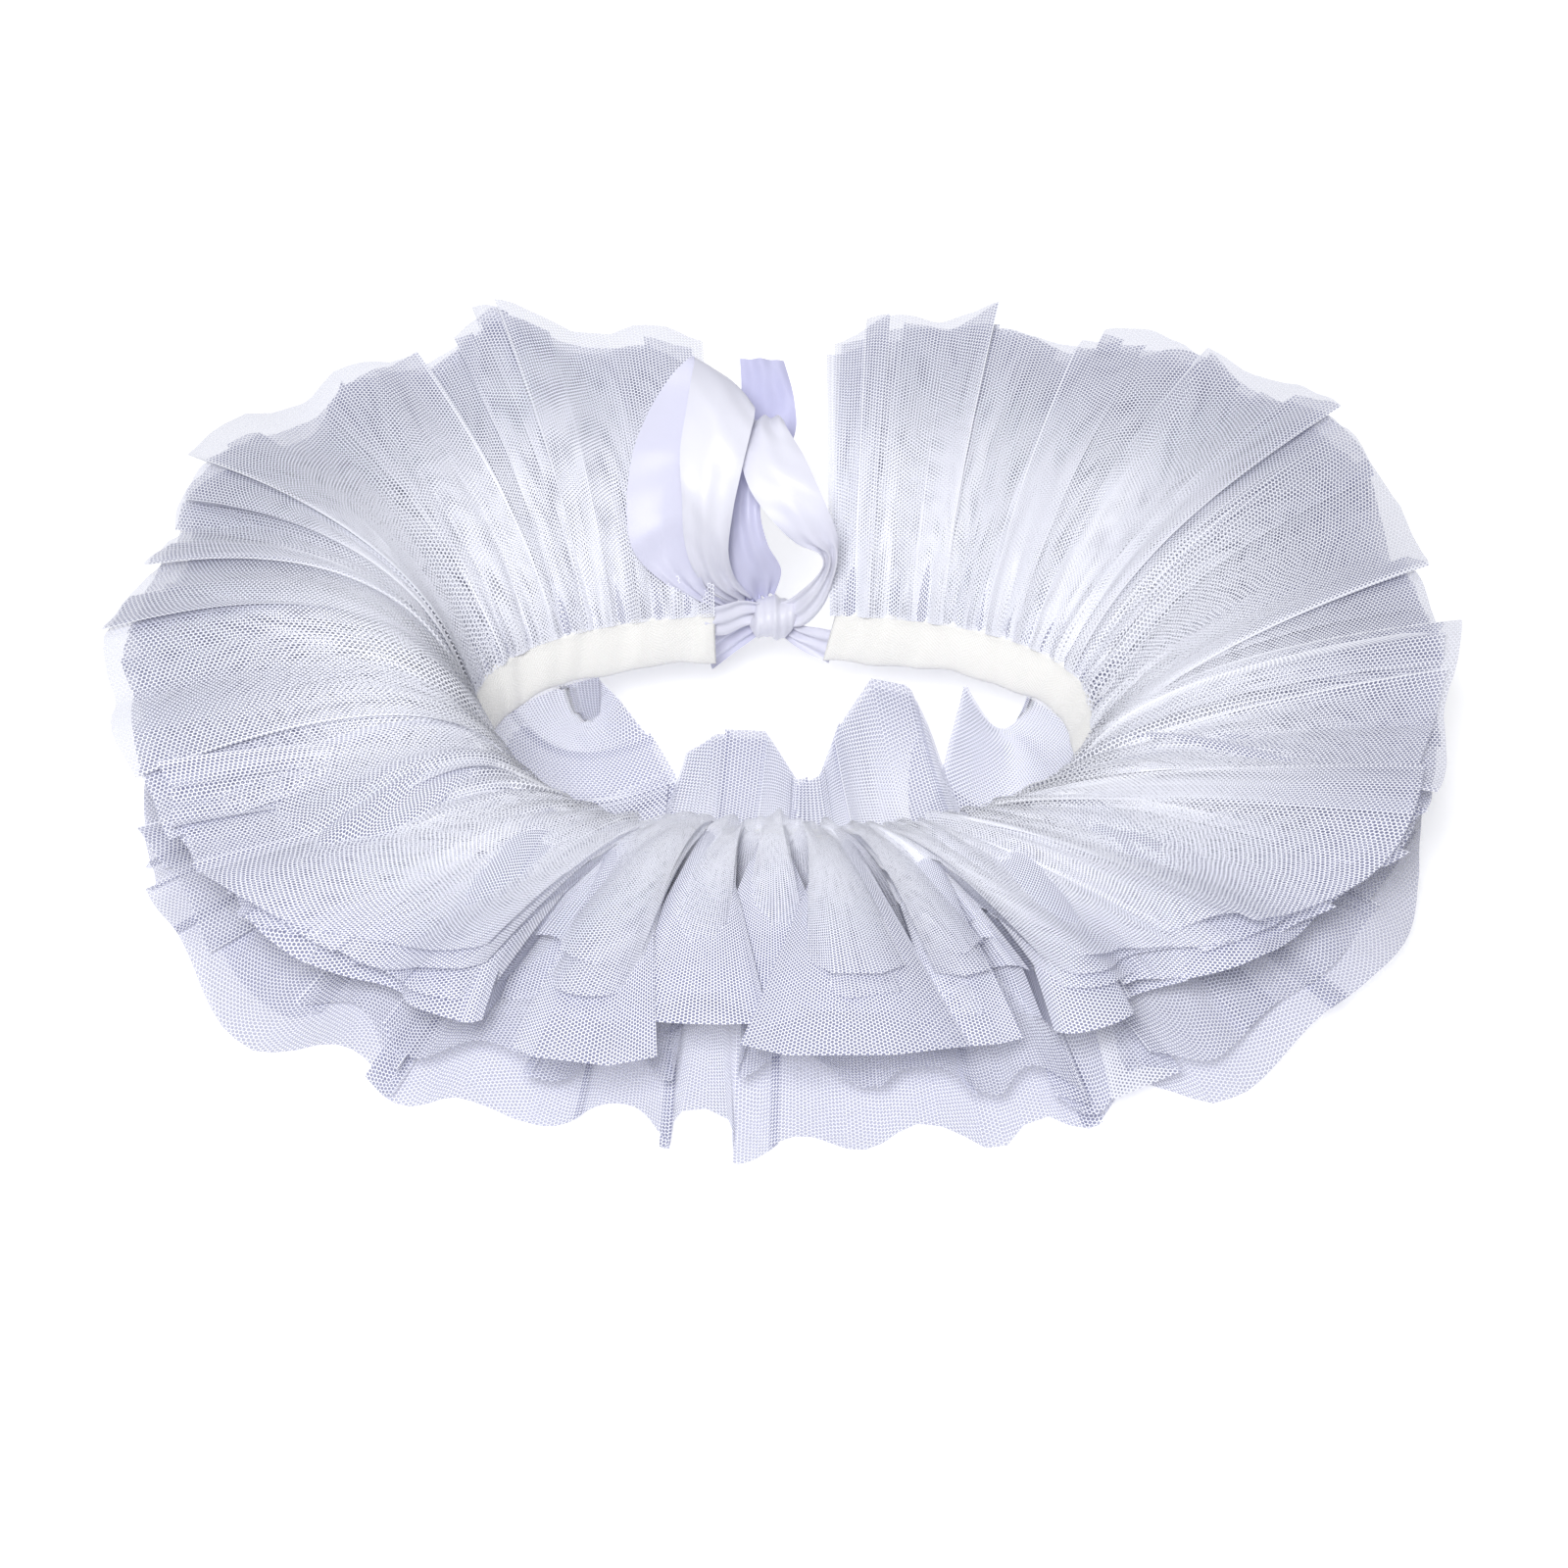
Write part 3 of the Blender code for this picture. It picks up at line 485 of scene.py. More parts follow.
def ruffle_grid(sections, flutes, ply, root_off):
    """Return a ply's grid of points, from the seam to the hem, with the crease of each line."""
    random = np.random.default_rng(ply["seed"])
    share = np.linspace(sections[0][0], sections[-1][0], 1200)
    values = section_values(RUFFLE_COLUMNS, sections, share)
    hem_share = share + values["sweep"] * ply["sweep"]
    place, out = neck_place(hem_share)
    reach = section_values(RUFFLE_COLUMNS, sections, hem_share)["reach"]
    run = np.concatenate(([0.0], np.cumsum(path_lengths(place + out * reach[:, None], 0))))
    bounds = fold_bounds(run, share, ply["width"], random)
    soft = 1.0 - ply["soft"]
    lines = fold_lines(bounds, ply["lap"], lambda at: np.interp(at, share, values["flat"]) * soft, random)
    line_share, level, crease, fold = lines.T
    root = section_values(RUFFLE_COLUMNS, sections, line_share)
    folds = len(bounds) + 1
    panel = np.arange(folds)
    drift = np.interp(fold, panel, random.uniform(-0.006, 0.006, folds)) + root["sweep"] * ply["sweep"]
    hem_run = np.interp(line_share, share, run)
    at_hem = section_values(RUFFLE_COLUMNS, sections, line_share + drift)
    flute, further = flute_values(flutes, line_share + drift)
    flute = flute * ply["flute"]
    reach = at_hem["reach"] - ply["shorter"] + further * (1.0 - 0.7 * at_hem["flat"])
    reach = reach - ply["parted"] * np.interp(line_share, FRONT_MIDDLE, (0.0, 1.0, 1.0, 0.0))
    reach = reach + ripples(hem_run, 0.0, ((143.0, 0.0, 2.0), (59.0, 0.0, 1.5)), random)
    stepped = panel_steps(fold, ply["step"], 1.4 * ply["step"], folds, random)
    reach = reach + stepped * at_hem["flat"] + np.interp(fold, panel, random.uniform(-2.0, 2.0, folds)) * level
    front = np.interp(line_share, FRONT, (0.0, 1.0, 1.0, 0.0))
    hem = at_hem["hem"] + np.interp(fold, panel, random.uniform(-1.5, 1.5, folds)) - ply["droop"] * front
    depth = root["depth"] * ply["depth"] * np.interp(fold, panel, random.uniform(0.6, 1.3, folds))

    t = np.linspace(0.0, 1.0, NET_ROWS)[:, None]
    t3 = t[..., None]
    place, out = neck_place(np.broadcast_to(line_share, (1, len(line_share))))
    start = band_point(line_share, ROOT_ALONG, root_off)[None]
    middle, middle_out = neck_place(line_share + 0.35 * drift)
    crown = root["crown"] - np.maximum(root["crown"] - LOW_CROWN, 0.0) * (1.0 - ply["stand"])
    control = middle + middle_out * (reach * root["over"])[:, None] + UP * crown[:, None]
    last, last_out = neck_place(line_share + drift)
    end = last + last_out * reach[:, None] + UP * hem[:, None]
    base = start * (1.0 - t3) ** 2 + control * (2.0 * t3 * (1.0 - t3)) + end * t3 ** 2
    slope = unit((control - start) * (1.0 - t3) + (end - control) * t3)
    out = unit(out * (1.0 - t3) + last_out * t3)
    side = np.cross(out, UP)
    lift = unit(np.cross(side, slope))
    height = depth * level * (ROOT_DEPTH + (1.0 - ROOT_DEPTH) * t)
    rise = ply["lift"] * (0.15 + 0.85 * t) + flute * t ** 1.2
    rise = rise + ripples(hem_run, t, ((61.0, 0.6, 0.9), (27.0, 1.3, 0.5), (11.0, 2.2, 0.25)), random) * t
    gathers = ripples(hem_run, t, ((15.1, 0.2, 1.7), (9.7, 0.5, 1.5)), random)
    gathers = gathers * np.minimum(1.0, 0.35 + t / 0.06) * np.exp(-t / 0.36)
    point = base + lift * (height + rise + gathers)[..., None]
    point = point - side * (height * root["flat"] * PLEAT_LEAN)[..., None]
    roll = np.gradient(flute, hem_run) * (1.0 - at_hem["flat"])
    point = point + side * (roll * flute * FLUTE_ROLL * t ** 2)[..., None]
    point[..., 2] = np.maximum(point[..., 2], BED_Z + 0.5 * (ply["lift"] > 0.0))
    turned = ROUND_FACING + (FACING_SHARE - ROUND_FACING) * root["flat"]
    facing = (np.broadcast_to(lift, point.shape), np.broadcast_to(turned[:, None], point.shape))
    return point, np.broadcast_to(crease, point.shape[:2]), facing


def inner_grid(rows, ply, random):
    """Return the grid of a panel that falls under the binding and lies inside the neck."""
    share = np.linspace(rows[0][0], rows[-1][0], 400)
    values = section_values(INNER_COLUMNS, rows, share)
    hem = np.stack((values["hem_x"], values["hem_y"]), axis=-1)
    run = np.concatenate(([0.0], np.cumsum(path_lengths(hem, 0))))
    bounds = fold_bounds(run, share, INNER_FOLD_WIDTH, random)
    lines = fold_lines(bounds, INNER_LAP, lambda at: np.interp(at, share, values["flat"]) * INNER_FLAT, random)
    line_share, level, crease = lines.T[:3]
    values = section_values(INNER_COLUMNS, rows, line_share)
    t = np.linspace(0.0, 1.0, NET_ROWS)[:, None, None]
    start = band_point(line_share, INNER_ROOT_ALONG, 0.0)[None]
    end = np.stack((values["hem_x"], values["hem_y"], values["hem_z"]), axis=-1)[None]
    end = end - (end - start) * 0.04 * ply
    control = start + (end - start) * INNER_TURN
    control[..., 2] = INNER_FALL_Z
    point = start * (1.0 - t) ** 2 + control * (2.0 * t * (1.0 - t)) + end * t ** 2
    height = values["depth"] * 0.7 * level * (0.2 + 0.8 * t[..., 0]) + 0.8 * ply
    point = point + UP * height[..., None]
    point[..., 2] = np.maximum(point[..., 2], BED_Z + 0.4 * ply)
    facing = np.broadcast_to(UP, point.shape)
    return point, np.broadcast_to(crease, point.shape[:2]), (facing, np.full(point.shape, ROUND_FACING))


# ---------------------------------------------------------------------------------------------- meshes


def soft_normals(grid, facing, share, flip):
    """Return a normal for each corner of each face, turned by a share towards the cloth's own facing.

    Light passes through thin net, so a fold shows in how its layers lie on each other and hardly in its shade.
    """
    down, across = grid[1:] - grid[:-1], grid[:, 1:] - grid[:, :-1]
    face = unit(np.cross(0.5 * (across[:-1] + across[1:]), 0.5 * (down[:, :-1] + down[:, 1:])))
    if flip:
        face = -face
    corners = ((slice(None, -1), slice(None, -1)), (slice(None, -1), slice(1, None)),
               (slice(1, None), slice(1, None)), (slice(1, None), slice(None, -1)))
    sign = np.sign((face * facing[:-1, :-1]).sum(axis=-1, keepdims=True))
    sign[sign == 0.0] = 1.0
    smooth = np.zeros_like(grid)
    for corner in corners:
        smooth[corner] += face * sign
    smooth = unit(smooth)
    mixed = unit(facing * share + smooth * (1.0 - share))
    if flip:
        corners = corners[::-1]
    return np.stack([mixed[corner] * sign for corner in corners], axis=2).reshape(-1, 3)


def sheet_piece(name, grid, cloth, attributes, material, flip=False, facing=None):
    """Make one open sheet through a grid of points in millimetres, with its flat coordinates as a UV map."""
    rows, count = grid.shape[:2]
    points = (grid.reshape(-1, 3) + NECK_CENTRE) * MM
    corner = (np.arange(rows - 1)[:, None] * count + np.arange(count - 1)[None, :]).ravel()
    faces = np.stack((corner, corner + 1, corner + count + 1, corner + count), axis=-1)
    if flip:
        faces = faces[:, ::-1]
    mesh = bpy.data.meshes.new(name)
    mesh.from_pydata(points.tolist(), [], faces.tolist())
    layer = mesh.uv_layers.new(name="cloth")
    flat = cloth.reshape(-1, 2)[faces.ravel()] * MM
    layer.data.foreach_set("uv", flat.ravel())
    for label, values in attributes.items():
        attribute = mesh.attributes.new(label, "FLOAT", "POINT")
        attribute.data.foreach_set("value", np.ascontiguousarray(values, dtype=np.float32).ravel())
    mesh.shade_smooth()
    if facing is not None:
        mesh.normals_split_custom_set(soft_normals(grid, *facing, flip).tolist())
    piece = bpy.data.objects.new(name, mesh)
    bpy.context.scene.collection.objects.link(piece)
    mesh.materials.append(material)
    return piece


def finish_piece(piece, nodes):
    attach(piece, BODY)
    if nodes:
        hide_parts(*nodes)


def hem_shade(shape, shade):
    """Return the painted shade between a ply's threads: its own, and more towards the hem, where few plies
    lie.
    """
    t = np.linspace(0.0, 1.0, shape[0])[:, None]
    t = np.clip((t - HEM_SHADE_START) / (1.0 - HEM_SHADE_START), 0.0, 1.0)
    return np.broadcast_to(shade + (1.0 - shade) * HEM_SHADE * t * t * (3.0 - 2.0 * t), shape)


def net_piece(name, grid, crease, facing, shade, nodes, material):
    width = float(path_lengths(grid, 0).sum(axis=0).mean())
    cloth, gathered, length = cloth_map(grid, width)
    attributes = {"gathered": gathered, "crease": crease, "shade": hem_shade(crease.shape, shade)}
    piece = sheet_piece(name, grid, cloth, attributes, material, facing=facing)
    finish_piece(piece, nodes)
    return piece


# ---------------------------------------------------------------------------------------------- materials


def math_node(tree, operation, first, second=None, third=None, clamp=False):
    node = tree.nodes.new("ShaderNodeMath")
    node.operation = operation
    node.use_clamp = clamp
    for socket, value in zip(node.inputs, (first, second, third)):
        if value is None:
            continue
        if isinstance(value, (int, float)):
            socket.default_value = value
        else:
            tree.links.new(value, socket)
    return node.outputs[0]


def make_group(name, inputs, outputs):
    """Start a shader node group with named number or vector sockets."""
    group = bpy.data.node_groups.new(name, "ShaderNodeTree")
    for label, kind, default in inputs:
        socket = group.interface.new_socket(name=label, in_out="INPUT", socket_type=kind)
        if default is not None:
            socket.default_value = default
    for label, kind in outputs:
        group.interface.new_socket(name=label, in_out="OUTPUT", socket_type=kind)
    return group, group.nodes.new("NodeGroupInput"), group.nodes.new("NodeGroupOutput")


def net_mask_group():
    """Threads of a hexagon net: three cosine waves at 60 degrees, cut at the thread's width."""
    group, source, result = make_group(
        "hexagon_net",
        (("Cloth", "NodeSocketVector", None), ("Pitch", "NodeSocketFloat", 0.00106),
         ("Thread", "NodeSocketFloat", -0.4), ("Gathered", "NodeSocketFloat", 1.0),
         ("Crease", "NodeSocketFloat", 0.0), ("Edge", "NodeSocketFloat", 0.5)),
        (("Threads", "NodeSocketFloat"), ("Height", "NodeSocketFloat")))
    split = group.nodes.new("ShaderNodeSeparateXYZ")
    group.links.new(source.outputs["Cloth"], split.inputs[0])
    x, y = split.outputs[0], split.outputs[1]
    turn = math_node(group, "DIVIDE", 4.0 * math.pi / math.sqrt(3.0), source.outputs["Pitch"])
    across = math_node(group, "MULTIPLY", x, turn)
    half = math_node(group, "MULTIPLY", across, 0.5)
    down = math_node(group, "MULTIPLY", math_node(group, "MULTIPLY", y, turn), math.sqrt(3.0) / 2.0)
    first = math_node(group, "COSINE", across)
    second = math_node(group, "COSINE", math_node(group, "ADD", half, down))
    third = math_node(group, "COSINE", math_node(group, "SUBTRACT", half, down))
    total = math_node(group, "ADD", math_node(group, "ADD", first, second), third)
    extra = math_node(group, "SUBTRACT", source.outputs["Gathered"], 1.0)
    cut = math_node(group, "MULTIPLY_ADD", extra, 0.13, source.outputs["Thread"])
    cut = math_node(group, "MULTIPLY_ADD", source.outputs["Crease"], 2.0, cut)
    apart = math_node(group, "SUBTRACT", cut, total)
    sharp = math_node(group, "DIVIDE", 1.0, source.outputs["Edge"])
    mask = math_node(group, "MULTIPLY_ADD", apart, sharp, 0.5, clamp=True)
    group.links.new(mask, result.inputs["Threads"])
    group.links.new(math_node(group, "MULTIPLY", total, -1.0), result.inputs["Height"])
    return group


def weave_group():
    """Over-and-under weave: the height of crossed threads, with a little unevenness."""
    group, source, result = make_group(
        "plain_weave",
        (("Cloth", "NodeSocketVector", None), ("Pitch", "NodeSocketFloat", 0.0004),
         ("Uneven", "NodeSocketFloat", 0.3)),
        (("Height", "NodeSocketFloat"), ("Shade", "NodeSocketFloat")))
    split = group.nodes.new("ShaderNodeSeparateXYZ")
    group.links.new(source.outputs["Cloth"], split.inputs[0])
    turn = math_node(group, "DIVIDE", math.pi, source.outputs["Pitch"])
    across = math_node(group, "SINE", math_node(group, "MULTIPLY", split.outputs[0], turn))
    down = math_node(group, "SINE", math_node(group, "MULTIPLY", split.outputs[1], turn))
    crossed = math_node(group, "MULTIPLY", across, down)
    noise = group.nodes.new("ShaderNodeTexNoise")
    noise.inputs["Scale"].default_value = 900.0
    noise.inputs["Detail"].default_value = 3.0
    group.links.new(source.outputs["Cloth"], noise.inputs["Vector"])
    uneven = math_node(group, "MULTIPLY", noise.outputs["Fac"], source.outputs["Uneven"])
    height = math_node(group, "ADD", crossed, uneven)
    group.links.new(height, result.inputs["Height"])
    group.links.new(noise.outputs["Fac"], result.inputs["Shade"])
    return group


def place_group(tree, group, values):
    node = tree.nodes.new("ShaderNodeGroup")
    node.node_tree = group
    for name, value in values.items():
        node.inputs[name].default_value = value
    return node


def cloth_coordinates(tree):
    node = tree.nodes.new("ShaderNodeUVMap")
    node.uv_map = "cloth"
    return node.outputs["UV"]


def attribute_output(tree, name):
    node = tree.nodes.new("ShaderNodeAttribute")
    node.attribute_name = name
    return node.outputs["Fac"]


def start_material(name, color, roughness, sheen):
    material = bpy.data.materials.new(name)
    material.use_nodes = True
    shader = material.node_tree.nodes["Principled BSDF"]
    shader.inputs["Base Color"].default_value = (*color, 1.0)
    shader.inputs["Roughness"].default_value = roughness
    shader.inputs["Sheen Weight"].default_value = sheen
    shader.inputs["Specular IOR Level"].default_value = 0.3
    return material, material.node_tree, shader


def net_material(settings):
    name = "white_net_cloth"
    if name in bpy.data.materials:
        return bpy.data.materials[name]
    material, tree, shader = start_material(name, settings.net_color, 0.75, 0.15)
    group = bpy.data.node_groups.get("hexagon_net") or net_mask_group()
    mask = place_group(tree, group, {"Pitch": settings.net_pitch, "Thread": settings.net_thread})
    tree.links.new(cloth_coordinates(tree), mask.inputs["Cloth"])
    tree.links.new(attribute_output(tree, "gathered"), mask.inputs["Gathered"])
    tree.links.new(attribute_output(tree, "crease"), mask.inputs["Crease"])
    threads = mask.outputs["Threads"]
    # Painted shade: by the shade attribute, the holes are partly filled with a dark colour that stands in for
    # the shade of the plies and floor beneath.
    shade = math_node(tree, "MULTIPLY", attribute_output(tree, "shade"), settings.net_shade)
    open_share = math_node(tree, "SUBTRACT", 1.0, shade)
    tree.links.new(math_node(tree, "MULTIPLY_ADD", threads, open_share, shade), shader.inputs["Alpha"])
    mix = tree.nodes.new("ShaderNodeMix")
    mix.data_type = "RGBA"
    mix.inputs[6].default_value = (*settings.net_painted_shade_color, 1.0)
    mix.inputs[7].default_value = (*settings.net_color, 1.0)
    tree.links.new(threads, mix.inputs[0])
    tree.links.new(mix.outputs[2], shader.inputs["Base Color"])
    return material


def binding_material(settings):
    material, tree, shader = start_material("cream_cotton_cloth", settings.cotton_color, 0.9, 0.25)
    group = bpy.data.node_groups.get("plain_weave") or weave_group()
    weave = place_group(tree, group, {"Pitch": 0.00042, "Uneven": 1.2})
    tree.links.new(cloth_coordinates(tree), weave.inputs["Cloth"])
    bump = tree.nodes.new("ShaderNodeBump")
    bump.inputs["Strength"].default_value = 0.35
    bump.inputs["Distance"].default_value = 0.0002
    tree.links.new(weave.outputs["Height"], bump.inputs["Height"])
    tree.links.new(bump.outputs["Normal"], shader.inputs["Normal"])
    return material


def satin_material(settings):
    material, tree, shader = start_material("white_satin_cloth", settings.satin_color, 0.32, 0.2)
    group = bpy.data.node_groups.get("plain_weave") or weave_group()
    weave = place_group(tree, group, {"Pitch": 0.00022, "Uneven": 0.8})
    tree.links.new(cloth_coordinates(tree), weave.inputs["Cloth"])
    bump = tree.nodes.new("ShaderNodeBump")
    # Painted shade: the ribbon's colour turns to the lavender shade colour where its shade attribute says it
    # lies in shade.
    mix = tree.nodes.new("ShaderNodeMix")
    mix.data_type = "RGBA"
    mix.inputs[6].default_value = (*settings.satin_color, 1.0)
    mix.inputs[7].default_value = (*settings.satin_shade_color, 1.0)
    tree.links.new(attribute_output(tree, "shade"), mix.inputs[0])
    tree.links.new(mix.outputs[2], shader.inputs["Base Color"])
    bump.inputs["Strength"].default_value = 0.12
    bump.inputs["Distance"].default_value = 0.0001
    tree.links.new(weave.outputs["Height"], bump.inputs["Height"])
    tree.links.new(bump.outputs["Normal"], shader.inputs["Normal"])
    return material


# ---------------------------------------------------------------------------------------------- pieces


def build_upper_net(settings):
    material = net_material(settings)
    for values in UPPER_PLIES:
        ply = dict(zip(PLY_COLUMNS, values))
        grid, crease, facing = ruffle_grid(UPPER_SECTIONS, UPPER_FLUTES, ply, -ROOT_OFF)
        nodes = ("upper_ruffle",) if ply["name"] == "upper_net_middle" else ()
        net_piece(ply["name"], grid, crease, facing, ply["shade"], nodes, material)


def build_lower_net(settings):
    material = net_material(settings)
    for values in LOWER_PLIES:
        ply = dict(zip(PLY_COLUMNS, values))
        grid, crease, facing = ruffle_grid(LOWER_SECTIONS, LOWER_FLUTES, ply, ROOT_OFF)
        nodes = ("lower_ruffle",) if ply["name"] == "lower_net_under" else ()
        net_piece(ply["name"], grid, crease, facing, ply["shade"], nodes, material)


def build_inner_net(settings):
    material = net_material(settings)
    for seed, (node, rows) in enumerate(INNER_PANELS.items()):
        for ply in range(INNER_PLIES):
            random = np.random.default_rng(40 + 10 * seed + ply)
            grid, crease, facing = inner_grid(rows, ply, random)
            name = node.replace("inner", "inner_net") + ("_top" if ply else "_under")
            # The under ply has full painted shade in its holes, the top one none.
            net_piece(name, grid, crease, facing, 1.0 - ply, () if ply else (node,), material)


def build_binding(settings):
    """The binding: a cotton strip folded round the roots of the net, open at the back."""
    random = np.random.default_rng(2)
    profile = list(BAND_PROFILE) + [(along, -off) for along, off in reversed(BAND_PROFILE)]
    along = np.array([p[0] for p in profile])[:, None] * 0.5 * settings.band_height * MM ** -1
    off = np.array([p[1] for p in profile])[:, None] * settings.band_thickness * MM ** -1
    share = np.linspace(BAND_START, BAND_END, BAND_COLUMNS)[None, :]
    length = share * NECK_ROUND
    t = np.linspace(-1.0, 1.0, len(profile))[:, None]
    soft = np.minimum((share - BAND_START), (BAND_END - share)) / 0.012
    taper = 0.45 + 0.55 * np.clip(soft, 0.0, 1.0) ** 0.5
    off = off * taper * (1.0 + ripples(length, t, ((23.0, 0.8, 0.10), (9.0, 1.1, 0.07)), random))
    low = np.clip(-along / HALF_BAND, 0.0, 1.0)
    high = np.clip(along / HALF_BAND, 0.0, 1.0)
    along = along + low * ripples(length, 0.0, ((31.0, 0.0, 0.45), (13.0, 0.0, 0.2)), random)
    along = along + high * ripples(length, 0.0, ((8.0, 0.0, 0.28), (4.3, 0.0, 0.16)), random)
    off = off + ripples(length, t, ((14.0, 1.2, 0.12), (6.0, 2.4, 0.06)), random)
    at = np.broadcast_to(share, along.shape)
    at = at - 0.004 * (along / HALF_BAND) * np.clip((share - 0.9) / 0.068, 0.0, 1.0)
    grid = band_point(at, along, off)
    across = np.broadcast_to(length, along.shape)
    down = np.concatenate((np.zeros((1, BAND_COLUMNS)), np.cumsum(path_lengths(grid, 0), axis=0)))
    cloth = np.stack((across, down), axis=-1)
    piece = sheet_piece("binding", grid, cloth, {}, binding_material(settings), flip=True)
    wall = piece.modifiers.new("wall", "SOLIDIFY")
    wall.thickness = COTTON_WALL * MM
    wall.offset = -1.0
    apply_modifiers(piece)
    finish_piece(piece, ("neckband",))
    length = (BAND_END - BAND_START) * NECK_ROUND


def apply_modifiers(piece):
    bpy.ops.object.select_all(action="DESELECT")
    piece.select_set(True)
    bpy.context.view_layer.objects.active = piece
    for modifier in list(piece.modifiers):
        bpy.ops.object.modifier_apply(modifier=modifier.name)
    piece.select_set(False)


def smooth_rows(rows, steps):
    """Return rows of numbers on a smooth line through the given rows, steps to each span."""
    rows = np.array(rows, dtype=float)
    line = []
    last = len(rows) - 1
    for index in range(last):
        before, start = rows[max(index - 1, 0)], rows[index]
        end, after = rows[index + 1], rows[min(index + 2, last)]
        for step in range(steps):
            t = step / steps
            line.append(0.5 * (2.0 * start + (end - before) * t
                               + (2.0 * before - 5.0 * start + 4.0 * end - after) * t ** 2
                               + (3.0 * start - before - 3.0 * end + after) * t ** 3))
    line.append(rows[last])
    return np.array(line)


def ribbon_grid(cup, rows, random):
    """Return a grid across and along a ribbon between its two edges, cupped across its width."""
    line = smooth_rows(rows, RIBBON_STEPS)
    near, far = line[:, 0:3], line[:, 3:6]
    centre = 0.5 * (near + far)
    width = np.linalg.norm(far - near, axis=1)
    ahead = unit(np.gradient(centre, axis=0))
    normal = unit(np.cross(far - near, ahead))
    place = np.linspace(-1.0, 1.0, RIBBON_ACROSS + 1)[:, None]
    run = np.concatenate(([0.0], np.cumsum(path_lengths(centre, 0))))[None, :]
    share = np.clip(width / RIBBON_WIDTH, 0.0, 1.0)[None, :]
    pinch = (1.0 - share) ** 1.5
    height = cup * (1.0 - np.abs(place) ** 1.5) * share
    height = height + FOLD_DEPTH * pinch * np.cos(place * 2.4 * math.pi + 0.6)
    height = height + ripples(run, place, ((23.0, 0.7, 0.30), (11.0, 1.4, 0.12)), random)
    middle = centre[None] + (far - near)[None] * (0.5 * place)[..., None]
    grid = middle + normal[None] * height[..., None]
    cloth = np.stack((place * 11.0 + np.zeros_like(run), np.zeros_like(place) + run), axis=-1)
    return grid, cloth, float(run[0, -1]), np.broadcast_to(line[:, 6], grid.shape[:2])


def build_bow(settings):
    material = satin_material(settings)
    for seed, (name, (cup, rows)) in enumerate(RIBBONS.items()):
        grid, cloth, length, shade = ribbon_grid(cup, rows, np.random.default_rng(70 + seed))
        piece = sheet_piece("ribbon_" + name, grid, cloth, {"shade": shade}, material)
        finish_piece(piece, (name,))


def build_knot(settings):
    """The knot: ribbon wound round the middle of the bow, pinched at both ends, with folds along it."""
    material = bpy.data.materials.get("white_satin_cloth") or satin_material(settings)
    side = np.linspace(-1.0, 1.0, KNOT_RINGS + 1)[:, None]
    turn = np.linspace(0.0, 2.0 * math.pi, KNOT_AROUND + 1)[None, :]
    barrel = np.sqrt(np.clip(1.0 - side ** 4, 0.0, 1.0)) * 0.85 + 0.15
    folds = 1.0 + 0.07 * np.sin(7.0 * side + 1.5 * np.sin(turn) + 0.8)
    folds = folds + 0.04 * np.sin(15.0 * side + np.sin(turn) * 2.0)
    folds = folds + 0.05 * np.sin(3.0 * turn + 2.0 * side)
    x = KNOT_PLACE[0] + KNOT_HALF[0] * (side + 0.12 * np.sin(turn)) + 0.0 * turn
    y = KNOT_PLACE[1] + KNOT_HALF[1] * barrel * folds * np.cos(turn)
    z = KNOT_PLACE[2] + KNOT_HALF[2] * barrel * folds * np.sin(turn)
    grid = np.stack((x, y, z), axis=-1)
    run = np.broadcast_to(turn * 5.0, x.shape)
    cloth = np.stack((np.broadcast_to(side * 11.0, x.shape), run), axis=-1)
    # Painted shade: a little of the satin shade colour over the whole knot.
    piece = sheet_piece("ribbon_knot", grid, cloth, {"shade": np.full(x.shape, 0.05)}, material, flip=True)
    finish_piece(piece, ("bow_knot",))


# ---------------------------------------------------------------------------------------------- stage


def add_light(name, size, power, place, aim, color):
    light = bpy.data.lights.new(name, "AREA")
    light.shape = "DISK"
    light.size = size
    light.energy = power
    light.color = color
    lamp = bpy.data.objects.new(name, light)
    lamp.location = place
    lamp.rotation_euler = (Vector(aim) - Vector(place)).to_track_quat("-Z", "Y").to_euler()
    bpy.context.scene.collection.objects.link(lamp)


def build_stage(settings):
    scene = bpy.context.scene
    bpy.ops.object.select_all(action="DESELECT")
    bpy.ops.mesh.primitive_plane_add(size=FLOOR_SIZE)
    floor = bpy.context.object
    floor.name = "floor"
    material = bpy.data.materials.new("pale_floor")
    material.use_nodes = True
    shader = material.node_tree.nodes["Principled BSDF"]
    shader.inputs["Base Color"].default_value = (*settings.floor_color, 1.0)
    shader.inputs["Roughness"].default_value = 0.9
    shader.inputs["Emission Color"].default_value = (1.0, 1.0, 1.0, 1.0)
    shader.inputs["Emission Strength"].default_value = settings.floor_glow
    floor.data.materials.append(material)
    world = bpy.data.worlds.new("studio")
    world.use_nodes = True
    world.node_tree.nodes["Background"].inputs["Color"].default_value = (0.97, 0.98, 1.0, 1.0)
    world.node_tree.nodes["Background"].inputs["Strength"].default_value = settings.world_light
    scene.world = world
    aim = (0.0, 0.0, 0.03)
    add_light("front_light", 0.5, settings.key_light, (-0.16, -0.90, 1.10), aim, (1.0, 1.0, 1.0))
    add_light("top_light", 0.8, settings.top_light, (-0.25, 0.35, 1.25), aim, (0.97, 0.98, 1.0))
    scene.view_settings.view_transform = "Standard"
    scene.cycles.transparent_max_bounces = 64
    add_camera(settings)


